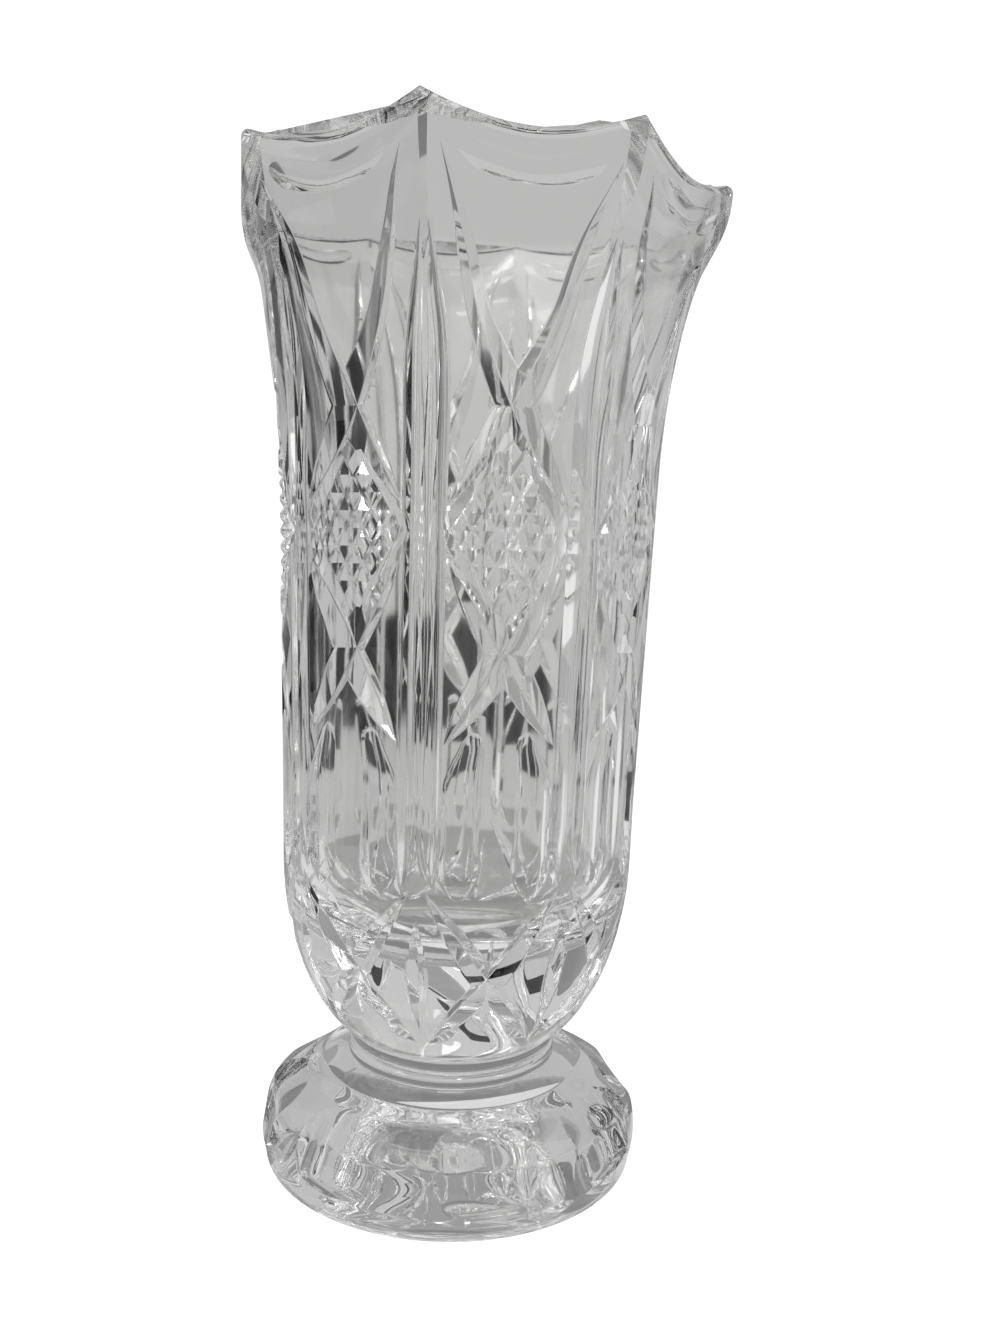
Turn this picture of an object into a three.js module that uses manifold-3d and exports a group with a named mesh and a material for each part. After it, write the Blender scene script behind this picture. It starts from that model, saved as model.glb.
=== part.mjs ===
// Footed vase of clear pressed glass: a tall bowl with an eight-pointed scalloped rim, a short stem
// with two rounded rings, and a domed round foot. Millimetres, +Z up. The origin is the middle of the
// ring that the vase stands on, and one of the eight ribs faces -Y.
//
// The bowl is made as the real mould is: a smooth blank, then V-shaped and round-bottomed cuts that
// run over its surface. Everything repeats eight times round the axis.

import * as THREE from 'three';
import { mergeVertices } from 'three/addons/utils/BufferGeometryUtils.js';
import Module from 'manifold-3d';

const wasm = await Module();
wasm.setup();

// Driving sizes of the whole vase
const HEIGHT = 250;
const REPEATS = 8;
const SECTOR = 360 / REPEATS;
const HALF_SECTOR = SECTOR / 2;
const SEAM_GAP = 0.3;

// Outside of the bowl: radius and height where its four stretches meet
const NECK_RADIUS = 27.2;
const BOWL_BASE_Z = 33.9;
const BELLY_RADIUS = 45.4;
const BELLY_Z = 78;
const WAIST_RADIUS = 48.7;
const WAIST_Z = 180;
const FLARE_RADIUS = 57.6;
const FLARE_Z = 229.8;
const TIP_RADIUS = 63.6;
const BOWL_COLUMNS = 40;
const BOWL_ROWS = [BOWL_BASE_Z, 37, 42, 48, 57, 67, 80, 125, 184, 206, 222, 232, 240];

// Rim: the edge dips between the tips, and the flare turns from round to eight-sided
const SCALLOP_SAG = 5;
const FLARE_START_Z = 205;
const LIP_RADIUS = 2.1;
const LIP_STEPS = 2;

// Hollow of the bowl
const HOLLOW_FLOOR_Z = 58;
const HOLLOW_BELLY_RADIUS = 37.6;
const HOLLOW_BELLY_Z = 80;
const HOLLOW_WAIST_RADIUS = 39.8;
const HOLLOW_TIP_RADIUS = 57.4;
const HOLLOW_OVERSHOOT = 6;
const HOLLOW_ROWS = [HOLLOW_FLOOR_Z + 0.3, 60.5, 67, HOLLOW_BELLY_Z, WAIST_Z, 204, 221, 236];

// Cutting wheels: flank run for each mm of depth, and how far a cutter stands clear of the glass
const MITRE_RATIO = 1.15;
const FAN_RATIO = 1.3;
const CLEARANCE = 0.6;

// Upper pair of crossing leaf cuts in each panel
const UPPER_CROSSING_Z = 189.3;
const UPPER_CROSSING_DEPTH = 3.5;
const UPPER_LEAF_FOOT = [-18, 165.5];
const UPPER_LEAF_LOW = [-10, 175.6, 2.1];
const UPPER_LEAF_MIDDLE = [9.6, 207, 2.2];
const UPPER_LEAF_HIGH = [13.9, 223, 1.4];
const UPPER_LEAF_TIP = [20.4, 246];
const UPPER_LEAF_STEPS = 6;

// Lower pair of crossing leaf cuts in each panel
const LOWER_CROSSING_Z = 135;
const LOWER_CROSSING_DEPTH = 3.3;
const LOWER_LEAF_RISE = 22.5;
const LOWER_LEAF_END_ANGLE = 17.4;
const LOWER_LEAF_SHARE = 0.55;
const LOWER_LEAF_DEPTH = 2.3;
const LOWER_LEAF_STEPS = 6;
const SHORT_LEAF_STEPS = 4;

// Diamond-point lattice between the two crossings
const LATTICE_MID_Z = 162.2;
const LATTICE_HALF_WIDTH = 2.7;
const LATTICE_HALF_HEIGHT = 3.95;
const LATTICE_CELLS = 5;
const LATTICE_DEPTH = 1.85;
const LATTICE_TIP_DROP = 0.28;
const LATTICE_SPREAD = 1.26;

// Ribs: a rounded back on each tip's line, between two grooves with a steep wall on the panel's side
const RIB_GROOVE_OFFSET = 3.6;
const RIB_GROOVE_DEPTH = 2.2;
const RIB_WALL_RATIO = 0.45;
const RIB_BACK_SHARES = [0.25, 0.58];
const RIB_BACK_REACH = 5.2;
const RIB_FOOT_Z = 80;
const RIB_FOOT_LENGTH = 8;
const RIB_SHOULDER_Z = 200;
const RIB_TAPER_Z = 216;
const RIB_TAPER_SHARE = 0.55;
const RIB_TOP_OFFSET = 0.3;
const RIB_TOP_Z = 231;

// Arched flutes under the lower crossing: steep walls, a nearly flat floor, and a top that leans inwards
const FLUTE_HALF_WIDTH = 4.3;
const FLUTE_FLOOR_HALF_WIDTH = 3.2;
const FLUTE_WALL_DEPTH = 1.55;
const FLUTE_DEPTH = 1.75;
const FLUTE_ANGLE = 10.6;
const FLUTE_FOOT_Z = 77;
const FLUTE_RUN_IN = 7;
const FLUTE_SHOULDER_Z = 104;
const FLUTE_ARCH = [[8.4, 112, 1.05], [6.8, 116.3, 0.4]];
const FLUTE_TOP = [5.6, 117.9];

// Shallow print under each scallop of the rim
const PRINT_WHEEL_RADIUS = 6;
const PRINT_DEPTH = 0.6;
const PRINT_MIDDLE_Z = 235.8;
const PRINT_RISE = 5.7;
const PRINT_HALF_ANGLE = 18;
const PRINT_STATIONS = [-1, -0.6, 0, 0.6, 1];
const PRINT_FACETS = 2;

// Kites round the bottom of the bowl
const KITE_TOP_Z = 84;
const KITE_STAR_Z = 58;
const KITE_FOOT_Z = 38.4;
const KITE_DEPTH = 2.7;
const KITE_UPPER_Z = 70.5;
const KITE_LOWER_Z = 48.6;
const KITE_SIDE_SHARE = 0.72;
const KITE_OVERLAP_ANGLE = 0.8;
const KITE_SPINE_TOP_Z = 78;
const KITE_SPINE_FOOT_Z = 40;
const KITE_SPINE_DEPTH = 2.2;
const STAR_LEAF_REACH = 17;
const STAR_LEAF_DEPTH = 1.3;

// Fans: two leaves that spread from the foot of each rib
const FAN_Z = 40.5;
const FAN_START_ANGLE = 0.4;
const FAN_REACH_ANGLE = 16.5;
const FAN_RISE = 7.5;
const FAN_MIDDLE_RISE = 3.15;
const FAN_DEPTH = 1.3;

// Stem with its two rings
const STEM_BASE_Z = 25.55;
const STEM_CORE_RADIUS = 25.4;
const LOWER_RING_Z = 27.9;
const LOWER_RING_RADIUS = 27.4;
const UPPER_RING_Z = 31.9;
const UPPER_RING_RADIUS = 26.9;
const RING_HALF_HEIGHT = 2.05;
const STEM_SEGMENTS = 32;

// Foot: an upright edge that widens to a crease, a full rounded side and a flat shelf that carries the stem
const FOOT_SOLE_RADIUS = 47.2;
const FOOT_EDGE_RADIUS = 48.4;
const FOOT_EDGE_Z = 1.8;
const FOOT_CREASE_RADIUS = 49.3;
const FOOT_CREASE_Z = 6.2;
const FOOT_SIDE_RADIUS = 47.6;
const FOOT_SIDE_Z = 16.4;
const FOOT_SHOULDER_RADIUS = 38.6;
const FOOT_SHOULDER_Z = 22.2;
const FOOT_SHELF_RADIUS = 33.5;
const FOOT_TOP_Z = 25.25;
const FOOT_COLUMNS = 40;
const FOOT_ROWS = [0, 0.5, FOOT_EDGE_Z, FOOT_CREASE_Z, 10.5, FOOT_SIDE_Z, 19.5, 22, FOOT_TOP_Z];
const FOOT_PRINT_HALF_WIDTH = 13.5;
const FOOT_PRINT_SAG = 0.3;
const FOOT_PRINT_STATIONS = [[7.4, -0.2], [10.5, 0.9], [16, 1.9], [20.6, 1.4], [24.2, -0.2]];
const SOLE_INNER_RADIUS = 43;
const RECESS_DEPTH = 7.5;
const RECESS_SHARES = [1, 0.85, 0.62, 0.33];

const radians = THREE.MathUtils.degToRad;
const smooth = THREE.MathUtils.smoothstep;

// Point on a circle about the axis. Angle 0 faces -Y and grows towards +X.
function around(angle, radius, z) {
  const a = radians(angle);
  return new THREE.Vector3(radius * Math.sin(a), -radius * Math.cos(a), z);
}

// Equally spaced angles all the way round.
function turns(count) {
  return Array.from({ length: count }, (_, i) => (i * 360) / count);
}

// Angle from the nearest middle of a panel, in degrees. Ribs stand at -22.5 and +22.5.
function fromPanelMiddle(angle) {
  const turn = THREE.MathUtils.euclideanModulo(angle, SECTOR);
  return turn - HALF_SECTOR;
}

// Turns triangles with shared corners into a solid, with the faces pointing out.
function solidFrom(points, triangles) {
  const raw = new THREE.BufferGeometry();
  raw.setAttribute('position', new THREE.Float32BufferAttribute(points.flatMap((p) => p.toArray()), 3));
  raw.setIndex(triangles.flat());
  const merged = mergeVertices(raw, 1e-4);
  const corner = new THREE.Vector3();
  const corners = [new THREE.Vector3(), new THREE.Vector3(), new THREE.Vector3()];
  const kept = [];
  let volume = 0;
  for (let i = 0; i < merged.index.count; i += 3) {
    const face = [0, 1, 2].map((k) => merged.index.getX(i + k));
    if (new Set(face).size === 3) {
      kept.push(face);
      face.forEach((v, k) => corners[k].fromBufferAttribute(merged.attributes.position, v));
      volume += corners[0].dot(corner.crossVectors(corners[1], corners[2]));
    }
  }
  const outward = volume < 0 ? kept.map(([a, b, c]) => [a, c, b]) : kept;
  return new wasm.Manifold(new wasm.Mesh({
    numProp: 3,
    vertProperties: new Float32Array(merged.attributes.position.array),
    triVerts: new Uint32Array(outward.flat()),
  }));
}

// Joins rings of equally many points into a closed solid, with a flat fan over each end.
function loft(rings) {
  const count = rings[0].length;
  const points = rings.flat();
  const triangles = [];
  for (let r = 0; r + 1 < rings.length; r += 1) {
    for (let k = 0; k < count; k += 1) {
      const a = r * count + k;
      const b = r * count + ((k + 1) % count);
      triangles.push([a, b, b + count], [a, b + count, a + count]);
    }
  }
  [[0, 1], [rings.length - 1, -1]].forEach(([r, facing]) => {
    const middle = points.length;
    const centre = new THREE.Vector3();
    rings[r].forEach((p) => centre.addScaledVector(p, 1 / count));
    points.push(centre);
    for (let k = 0; k < count; k += 1) {
      const a = r * count + k;
      const b = r * count + ((k + 1) % count);
      triangles.push(facing > 0 ? [b, a, middle] : [a, b, middle]);
    }
  });
  return solidFrom(points, triangles);
}

// Chain of Bezier stretches through named points, as a lookup of radius by height.
function profile(start, stretches) {
  const path = new THREE.CurvePath();
  let from = start;
  stretches.forEach(([c1, c2, to]) => {
    path.add(new THREE.CubicBezierCurve(
      new THREE.Vector2(...from),
      new THREE.Vector2(...c1),
      new THREE.Vector2(...c2),
      new THREE.Vector2(...to),
    ));
    from = to;
  });
  const samples = path.curves.flatMap((curve) => curve.getPoints(60));
  return (z) => {
    const next = samples.findIndex((p) => p.y >= z);
    if (next < 0) return samples[samples.length - 1].x;
    if (next === 0) return samples[0].x;
    const low = samples[next - 1];
    const high = samples[next];
    const rise = high.y - low.y;
    return rise > 0 ? low.x + ((high.x - low.x) * (z - low.y)) / rise : high.x;
  };
}

const bowlProfile = profile([NECK_RADIUS, BOWL_BASE_Z], [
  [[33.5, 37.5], [44.3, 52], [BELLY_RADIUS, BELLY_Z]],
  [[46.2, 112], [47.6, 150], [WAIST_RADIUS, WAIST_Z]],
  [[49.4, 201], [54, 222.7], [FLARE_RADIUS, FLARE_Z]],
  [[60.9, 236.3], [63.8, 240], [TIP_RADIUS, HEIGHT]],
]);

const hollowProfile = profile([0, HOLLOW_FLOOR_Z], [
  [[24, HOLLOW_FLOOR_Z], [37.2, 66], [HOLLOW_BELLY_RADIUS, HOLLOW_BELLY_Z]],
  [[38.2, 115], [39.2, 150], [HOLLOW_WAIST_RADIUS, WAIST_Z]],
  [[40.9, 209], [53, 228], [HOLLOW_TIP_RADIUS, HEIGHT]],
]);

// The flare is round at its start and eight-sided at the rim, with its corners on the ribs.
function facetFactor(angle, z) {
  const flat = Math.cos(radians(HALF_SECTOR)) / Math.cos(radians(fromPanelMiddle(angle)));
  return 1 + (flat - 1) * smooth(z, FLARE_START_Z, HEIGHT);
}

// How far a row of the blank dips at an angle: rows near the rim follow its scallops.
function scallopDip(angle, row) {
  const across = 1 - (fromPanelMiddle(angle) / HALF_SECTOR) ** 2;
  return SCALLOP_SAG * across * smooth(row, FLARE_START_Z, HEIGHT);
}

// Radius of the bowl's outside at a height. The row that dips to that height is found by a few rounds.
function bowlRadius(angle, z) {
  let row = z;
  for (let round = 0; round < 4; round += 1) row = z + scallopDip(angle, row);
  return bowlProfile(row) * facetFactor(angle, row);
}

// Spot on the outside of the bowl: its place and the direction out of the glass.
function onBowl(angle, z) {
  const step = 0.5;
  const slope = (bowlRadius(angle, z + step) - bowlRadius(angle, z - step)) / (2 * step);
  return { at: around(angle, bowlRadius(angle, z), z), out: around(angle, 1, -slope).normalize() };
}

// Ring of a V-shaped wheel: two corners clear of the glass and one at the bottom of the groove.
function vSection(ratio) {
  return (depth) => {
    const half = (depth + CLEARANCE) * ratio;
    return [[-half, CLEARANCE], [0, -depth], [half, CLEARANCE]];
  };
}

// Ring of a round-edged wheel: the groove's floor is a shallow arc.
function roundSection(wheelRadius, steps) {
  return (depth) => {
    const rise = depth + CLEARANCE;
    const half = Math.sqrt(2 * wheelRadius * rise);
    return Array.from({ length: steps + 1 }, (_, i) => {
      const t = -1 + (2 * i) / steps;
      return [half * t, -depth + rise * t * t];
    });
  };
}

// Ring of a broad flat wheel, hollowed by a small sag.
function flatSection(half, sag) {
  return (depth) => {
    const edge = sag - depth;
    return [[-half, CLEARANCE], [-half, edge], [0, -depth], [half, edge], [half, CLEARANCE]];
  };
}

// Ring of a wheel with an outline of its own, which shrinks towards the clearance as the cut gets shallower.
function shapedSection(outline, fullDepth) {
  return (depth) => {
    const share = (depth + CLEARANCE) / (fullDepth + CLEARANCE);
    return outline.map(([x, y]) => [x * share, CLEARANCE - (CLEARANCE - y) * share]);
  };
}

// A cut along stations on a surface. A depth of -CLEARANCE is where the wheel leaves the glass.
function groove(stations, section) {
  const rings = stations.map((station, i) => {
    const before = stations[Math.max(i - 1, 0)].at;
    const after = stations[Math.min(i + 1, stations.length - 1)].at;
    const along = new THREE.Vector3().subVectors(after, before).normalize();
    const side = new THREE.Vector3().crossVectors(along, station.out).normalize();
    return section(station.depth).map(([x, y]) => (
      station.at.clone().addScaledVector(side, x).addScaledVector(station.out, y)
    ));
  });
  return loft(rings);
}

// Stations along a smooth line through knots of angle, height and depth.
function alongBowl(knots, count, place = onBowl) {
  const line = new THREE.CatmullRomCurve3(knots.map((k) => new THREE.Vector3(...k)), false, 'centripetal');
  return Array.from({ length: count + 1 }, (_, i) => {
    const knot = line.getPoint(i / count);
    return { ...place(knot.x, knot.y), depth: Math.max(knot.z, -CLEARANCE) };
  });
}

// The same cut in every panel, on both sides of the panel's middle when it is mirrored.
function repeated(makeCut, mirrored) {
  const sides = mirrored ? [-1, 1] : [1];
  return turns(REPEATS).flatMap((rib) => sides.map((side) => makeCut(rib + HALF_SECTOR, side)));
}

// V-shaped cut through knots of angle from the panel's middle, height and depth.
function leafCut(knots, steps, section = vSection(MITRE_RATIO)) {
  return (middle, side) => groove(
    alongBowl(knots.map(([u, z, depth]) => [middle + side * u, z, depth]), steps),
    section,
  );
}

function upperLeaves() {
  const knots = [
    [...UPPER_LEAF_FOOT, -CLEARANCE],
    UPPER_LEAF_LOW,
    [0, UPPER_CROSSING_Z, UPPER_CROSSING_DEPTH],
    UPPER_LEAF_MIDDLE,
    UPPER_LEAF_HIGH,
    [...UPPER_LEAF_TIP, -CLEARANCE],
  ];
  return repeated(leafCut(knots, UPPER_LEAF_STEPS), true);
}

function lowerLeaves() {
  const knot = (share, depth) => [
    LOWER_LEAF_END_ANGLE * share,
    LOWER_CROSSING_Z + LOWER_LEAF_RISE * share,
    depth,
  ];
  const knots = [
    knot(1, -CLEARANCE),
    knot(LOWER_LEAF_SHARE, LOWER_LEAF_DEPTH),
    knot(0, LOWER_CROSSING_DEPTH),
    knot(-LOWER_LEAF_SHARE, LOWER_LEAF_DEPTH),
    knot(-1, -CLEARANCE),
  ];
  return repeated(leafCut(knots, LOWER_LEAF_STEPS), true);
}

// Cutter for one panel's lattice: a block whose underside is the print of its diamond points. Each cell
// is a rhombus with its valleys along the edges and one point in the middle, so it has four faces.
function latticeDie(middle) {
  const points = [];
  const triangles = [];
  const known = new Map();
  const node = (right, up, depth, spread) => {
    const key = [right, up, depth].join();
    if (!known.has(key)) {
      const across = ((right + up) / 2) * LATTICE_HALF_WIDTH * spread;
      const z = LATTICE_MID_Z + ((up - right) / 2) * LATTICE_HALF_HEIGHT * spread;
      const turn = THREE.MathUtils.radToDeg(across / bowlProfile(LATTICE_MID_Z));
      const spot = onBowl(middle + turn, z);
      known.set(key, points.length);
      points.push(spot.at.addScaledVector(spot.out, -depth));
    }
    return known.get(key);
  };
  const valley = (right, up) => node(right, up, LATTICE_DEPTH, 1);
  const lid = (right, up) => node(right, up, -CLEARANCE, LATTICE_SPREAD);
  const cells = new Map();
  for (let right = 1 - LATTICE_CELLS; right < LATTICE_CELLS; right += 2) {
    for (let up = 1 - LATTICE_CELLS; up < LATTICE_CELLS; up += 2) {
      const isPlainCorner = Math.abs(up - right) === 2 * (LATTICE_CELLS - 1);
      if (!isPlainCorner) cells.set([right, up].join(), [right, up]);
    }
  }
  const corners = [[-1, -1], [1, -1], [1, 1], [-1, 1]];
  cells.forEach(([right, up]) => {
    const tip = node(right, up, LATTICE_TIP_DROP, 1);
    const low = corners.map(([r, u]) => valley(right + r, up + u));
    const high = corners.map(([r, u]) => lid(right + r, up + u));
    triangles.push([high[0], high[1], high[2]], [high[0], high[2], high[3]]);
    corners.forEach(([r, u], k) => {
      const next = (k + 1) % 4;
      const [nr, nu] = corners[next];
      triangles.push([low[next], low[k], tip]);
      const isEdge = !cells.has([right + r + nr, up + u + nu].join());
      if (isEdge) triangles.push([low[k], low[next], high[next]], [low[k], high[next], high[k]]);
    });
  });
  return solidFrom(points, triangles);
}

function lattice() {
  return repeated((middle) => latticeDie(middle), false);
}

// Outline of the groove to the left of a rib: the wall, the bottom and half of the rib's round back.
function ribOutline() {
  const radius = (RIB_GROOVE_OFFSET ** 2 + RIB_GROOVE_DEPTH ** 2) / (2 * RIB_GROOVE_DEPTH);
  const back = RIB_BACK_SHARES.map((share) => {
    const fromCrest = RIB_GROOVE_OFFSET * (1 - share);
    return [RIB_GROOVE_OFFSET * share, Math.sqrt(radius ** 2 - fromCrest ** 2) - radius];
  });
  const wall = RIB_WALL_RATIO * (RIB_GROOVE_DEPTH + CLEARANCE);
  return [[-wall, CLEARANCE], [0, -RIB_GROOVE_DEPTH], ...back, [RIB_BACK_REACH, CLEARANCE]];
}

// Grooves on both sides of every rib.
function ribGrooves() {
  const knots = [
    [RIB_GROOVE_OFFSET, RIB_FOOT_Z, -CLEARANCE],
    [RIB_GROOVE_OFFSET, RIB_FOOT_Z + RIB_FOOT_LENGTH, RIB_GROOVE_DEPTH],
    [RIB_GROOVE_OFFSET, WAIST_Z, RIB_GROOVE_DEPTH],
    [RIB_GROOVE_OFFSET, RIB_SHOULDER_Z, RIB_GROOVE_DEPTH],
    [RIB_GROOVE_OFFSET * RIB_TAPER_SHARE, RIB_TAPER_Z, RIB_GROOVE_DEPTH * RIB_TAPER_SHARE],
    [RIB_TOP_OFFSET, RIB_TOP_Z, -CLEARANCE],
  ];
  const outline = ribOutline();
  const mirrored = outline.map(([x, y]) => [-x, y]).reverse();
  return repeated((middle, side) => {
    const stations = knots.map(([offset, z, depth]) => {
      const angle = HALF_SECTOR - THREE.MathUtils.radToDeg(offset / bowlProfile(z));
      return { ...onBowl(middle + side * angle, z), depth };
    });
    return groove(stations, shapedSection(side > 0 ? outline : mirrored, RIB_GROOVE_DEPTH));
  }, true);
}

// Two arched flutes in every panel, with a smooth strip between them.
function flutes() {
  const knots = [
    [FLUTE_ANGLE, FLUTE_FOOT_Z, -CLEARANCE],
    [FLUTE_ANGLE, FLUTE_FOOT_Z + FLUTE_RUN_IN, FLUTE_DEPTH],
    [FLUTE_ANGLE, FLUTE_SHOULDER_Z, FLUTE_DEPTH],
    ...FLUTE_ARCH,
    [...FLUTE_TOP, -CLEARANCE],
  ];
  const wall = (FLUTE_HALF_WIDTH - FLUTE_FLOOR_HALF_WIDTH) / FLUTE_WALL_DEPTH;
  const top = FLUTE_HALF_WIDTH + wall * CLEARANCE;
  const outline = [
    [-top, CLEARANCE],
    [-FLUTE_FLOOR_HALF_WIDTH, -FLUTE_WALL_DEPTH],
    [0, -FLUTE_DEPTH],
    [FLUTE_FLOOR_HALF_WIDTH, -FLUTE_WALL_DEPTH],
    [top, CLEARANCE],
  ];
  return repeated((middle, side) => groove(
    knots.map(([u, z, depth]) => ({ ...onBowl(middle + side * u, z), depth })),
    shapedSection(outline, FLUTE_DEPTH),
  ), true);
}

// Crossing cuts that leave a row of kites, with a spine up each rib and an upright leaf in each star.
function kites() {
  const zigzag = [
    [-HALF_SECTOR - KITE_OVERLAP_ANGLE, KITE_TOP_Z, -CLEARANCE],
    [-HALF_SECTOR / 2, KITE_UPPER_Z, KITE_DEPTH * KITE_SIDE_SHARE],
    [0, KITE_STAR_Z, KITE_DEPTH],
    [HALF_SECTOR / 2, KITE_LOWER_Z, KITE_DEPTH * KITE_SIDE_SHARE],
    [HALF_SECTOR + KITE_OVERLAP_ANGLE, KITE_FOOT_Z, -CLEARANCE],
  ];
  const spine = [
    [HALF_SECTOR, KITE_SPINE_FOOT_Z, -CLEARANCE],
    [HALF_SECTOR, (KITE_SPINE_TOP_Z + KITE_SPINE_FOOT_Z) / 2, KITE_SPINE_DEPTH],
    [HALF_SECTOR, KITE_SPINE_TOP_Z, -CLEARANCE],
  ];
  const starLeaf = [
    [0, KITE_STAR_Z - STAR_LEAF_REACH, -CLEARANCE],
    [0, KITE_STAR_Z, STAR_LEAF_DEPTH],
    [0, KITE_STAR_Z + STAR_LEAF_REACH, -CLEARANCE],
  ];
  return [
    ...repeated(leafCut(zigzag, SHORT_LEAF_STEPS), true),
    ...repeated(leafCut(spine, SHORT_LEAF_STEPS), false),
    ...repeated(leafCut(starLeaf, SHORT_LEAF_STEPS), false),
  ];
}

// Leaves that spread to both sides from the foot of every rib.
function fans() {
  const knots = [
    [HALF_SECTOR - FAN_START_ANGLE, FAN_Z, -CLEARANCE],
    [HALF_SECTOR - FAN_REACH_ANGLE / 2, FAN_Z + FAN_MIDDLE_RISE, FAN_DEPTH],
    [HALF_SECTOR - FAN_REACH_ANGLE, FAN_Z + FAN_RISE, -CLEARANCE],
  ];
  return repeated(leafCut(knots, SHORT_LEAF_STEPS, vSection(FAN_RATIO)), true);
}

// Shallow prints that hang under the scallops.
function thumbprints() {
  const knots = PRINT_STATIONS.map((share) => [
    PRINT_HALF_ANGLE * share,
    PRINT_MIDDLE_Z + PRINT_RISE * share * share,
    Math.abs(share) < 1 ? PRINT_DEPTH : -CLEARANCE,
  ]);
  const section = roundSection(PRINT_WHEEL_RADIUS, PRINT_FACETS);
  return repeated(leafCut(knots, SHORT_LEAF_STEPS, section), false);
}

// One row of the bowl's blank or hollow.
function bowlRow(radius, z) {
  return turns(BOWL_COLUMNS).map((angle) => (
    around(angle, radius * facetFactor(angle, z), z - scallopDip(angle, z))
  ));
}

// Rows of the rounded lip. The way is -1 where it turns in towards the axis, and 1 where it turns out.
function lipRows(lookup, way) {
  const edge = lookup(HEIGHT - LIP_RADIUS);
  return Array.from({ length: LIP_STEPS + 1 }, (_, i) => {
    const turn = ((Math.PI / 2) * i) / LIP_STEPS;
    const shift = way * LIP_RADIUS * (1 - Math.cos(turn));
    return bowlRow(edge + shift, HEIGHT - LIP_RADIUS * (1 - Math.sin(turn)));
  });
}

// Smooth blank of the bowl, before it is cut.
function bowlBlank() {
  const rows = BOWL_ROWS.map((z) => bowlRow(bowlProfile(z), z));
  return loft([...rows, ...lipRows(bowlProfile, -1)]);
}

// The deep hollow that holds the water and the stems.
function bowlHollow() {
  const rows = HOLLOW_ROWS.map((z) => bowlRow(hollowProfile(z), z));
  const lip = lipRows(hollowProfile, 1);
  const above = lip[LIP_STEPS].map((p) => p.clone().setZ(p.z + HOLLOW_OVERSHOOT));
  return loft([...rows, ...lip, above]);
}

function bowl() {
  const cuts = [
    ...upperLeaves(),
    ...lowerLeaves(),
    ...lattice(),
    ...ribGrooves(),
    ...flutes(),
    ...kites(),
    ...fans(),
    ...thumbprints(),
  ];
  const all = cuts.reduce((joined, cut) => joined.add(cut), bowlHollow());
  return bowlBlank().subtract(all);
}

// Stem: a short round core with two rounded rings, turned as one profile.
function stemCollar() {
  const base = STEM_BASE_Z;
  const top = BOWL_BASE_Z - SEAM_GAP;
  const ringArc = (z, radius) => Array.from({ length: 6 }, (_, i) => {
    const t = -1 + (2 * i) / 5;
    const bulge = (radius - STEM_CORE_RADIUS) * Math.sqrt(Math.max(1 - t * t, 0));
    return new THREE.Vector2(STEM_CORE_RADIUS + bulge, z + RING_HALF_HEIGHT * t);
  });
  const outline = [
    new THREE.Vector2(0, base),
    new THREE.Vector2(STEM_CORE_RADIUS, base),
    ...ringArc(LOWER_RING_Z, LOWER_RING_RADIUS).slice(1),
    ...ringArc(UPPER_RING_Z - 0.1, UPPER_RING_RADIUS).slice(1, -1),
    new THREE.Vector2(STEM_CORE_RADIUS, top),
    new THREE.Vector2(0, top),
  ];
  const lathe = new THREE.LatheGeometry(outline, STEM_SEGMENTS);
  lathe.rotateX(Math.PI / 2);
  return lathe;
}

const footProfile = profile([FOOT_SOLE_RADIUS, 0], [
  [[47.8, 0.05], [48.25, 0.7], [FOOT_EDGE_RADIUS, FOOT_EDGE_Z]],
  [[48.6, 3.2], [49, 4.8], [FOOT_CREASE_RADIUS, FOOT_CREASE_Z]],
  [[49.5, 8.5], [49.5, 13.4], [FOOT_SIDE_RADIUS, FOOT_SIDE_Z]],
  [[46, 18.9], [41.4, 21], [FOOT_SHOULDER_RADIUS, FOOT_SHOULDER_Z]],
  [[36.8, 23], [35.4, 25.15], [FOOT_SHELF_RADIUS, FOOT_TOP_Z]],
]);

// Spot on the dome of the foot.
function onFoot(angle, z) {
  const step = 0.3;
  const fall = footProfile(z - step) - footProfile(z + step);
  return { at: around(angle, footProfile(z), z), out: around(angle, 2 * step, fall).normalize() };
}

// Eight broad shallow prints on the dome, one under each panel, from stations of height and depth.
function footPrints() {
  return repeated((middle) => groove(
    FOOT_PRINT_STATIONS.map(([z, depth]) => ({ ...onFoot(middle, z), depth })),
    flatSection(FOOT_PRINT_HALF_WIDTH, FOOT_PRINT_SAG),
  ), false);
}

function footBlank() {
  return loft(FOOT_ROWS.map((z) => turns(FOOT_COLUMNS).map((angle) => around(angle, footProfile(z), z))));
}

// The hollow under the foot, as a shallow dome that stands on the ground plane.
function footRecess() {
  const row = (share, z) => turns(FOOT_COLUMNS).map((angle) => around(angle, SOLE_INNER_RADIUS * share, z));
  const dome = RECESS_SHARES.map((share) => row(share, RECESS_DEPTH * (1 - share * share)));
  return loft([row(1, -CLEARANCE), ...dome]);
}

function foot() {
  const cuts = footPrints().reduce((joined, print) => joined.add(print), footRecess());
  return footBlank().subtract(cuts);
}

// Geometry of a solid, for a mesh.
function geometryOf(solid) {
  const mesh = solid.getMesh();
  const geometry = new THREE.BufferGeometry();
  geometry.setAttribute('position', new THREE.BufferAttribute(mesh.vertProperties, 3));
  geometry.setIndex(new THREE.BufferAttribute(mesh.triVerts, 1));
  geometry.computeVertexNormals();
  return geometry;
}

// Clear glass with a faint cool tint for each piece.
function glass(tint) {
  return new THREE.MeshStandardMaterial({
    color: tint,
    roughness: 0.05,
    metalness: 0,
    transparent: true,
    opacity: 0.4,
  });
}

function piece(name, geometry, tint) {
  const mesh = new THREE.Mesh(geometry, glass(tint));
  mesh.name = name;
  return mesh;
}

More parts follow.
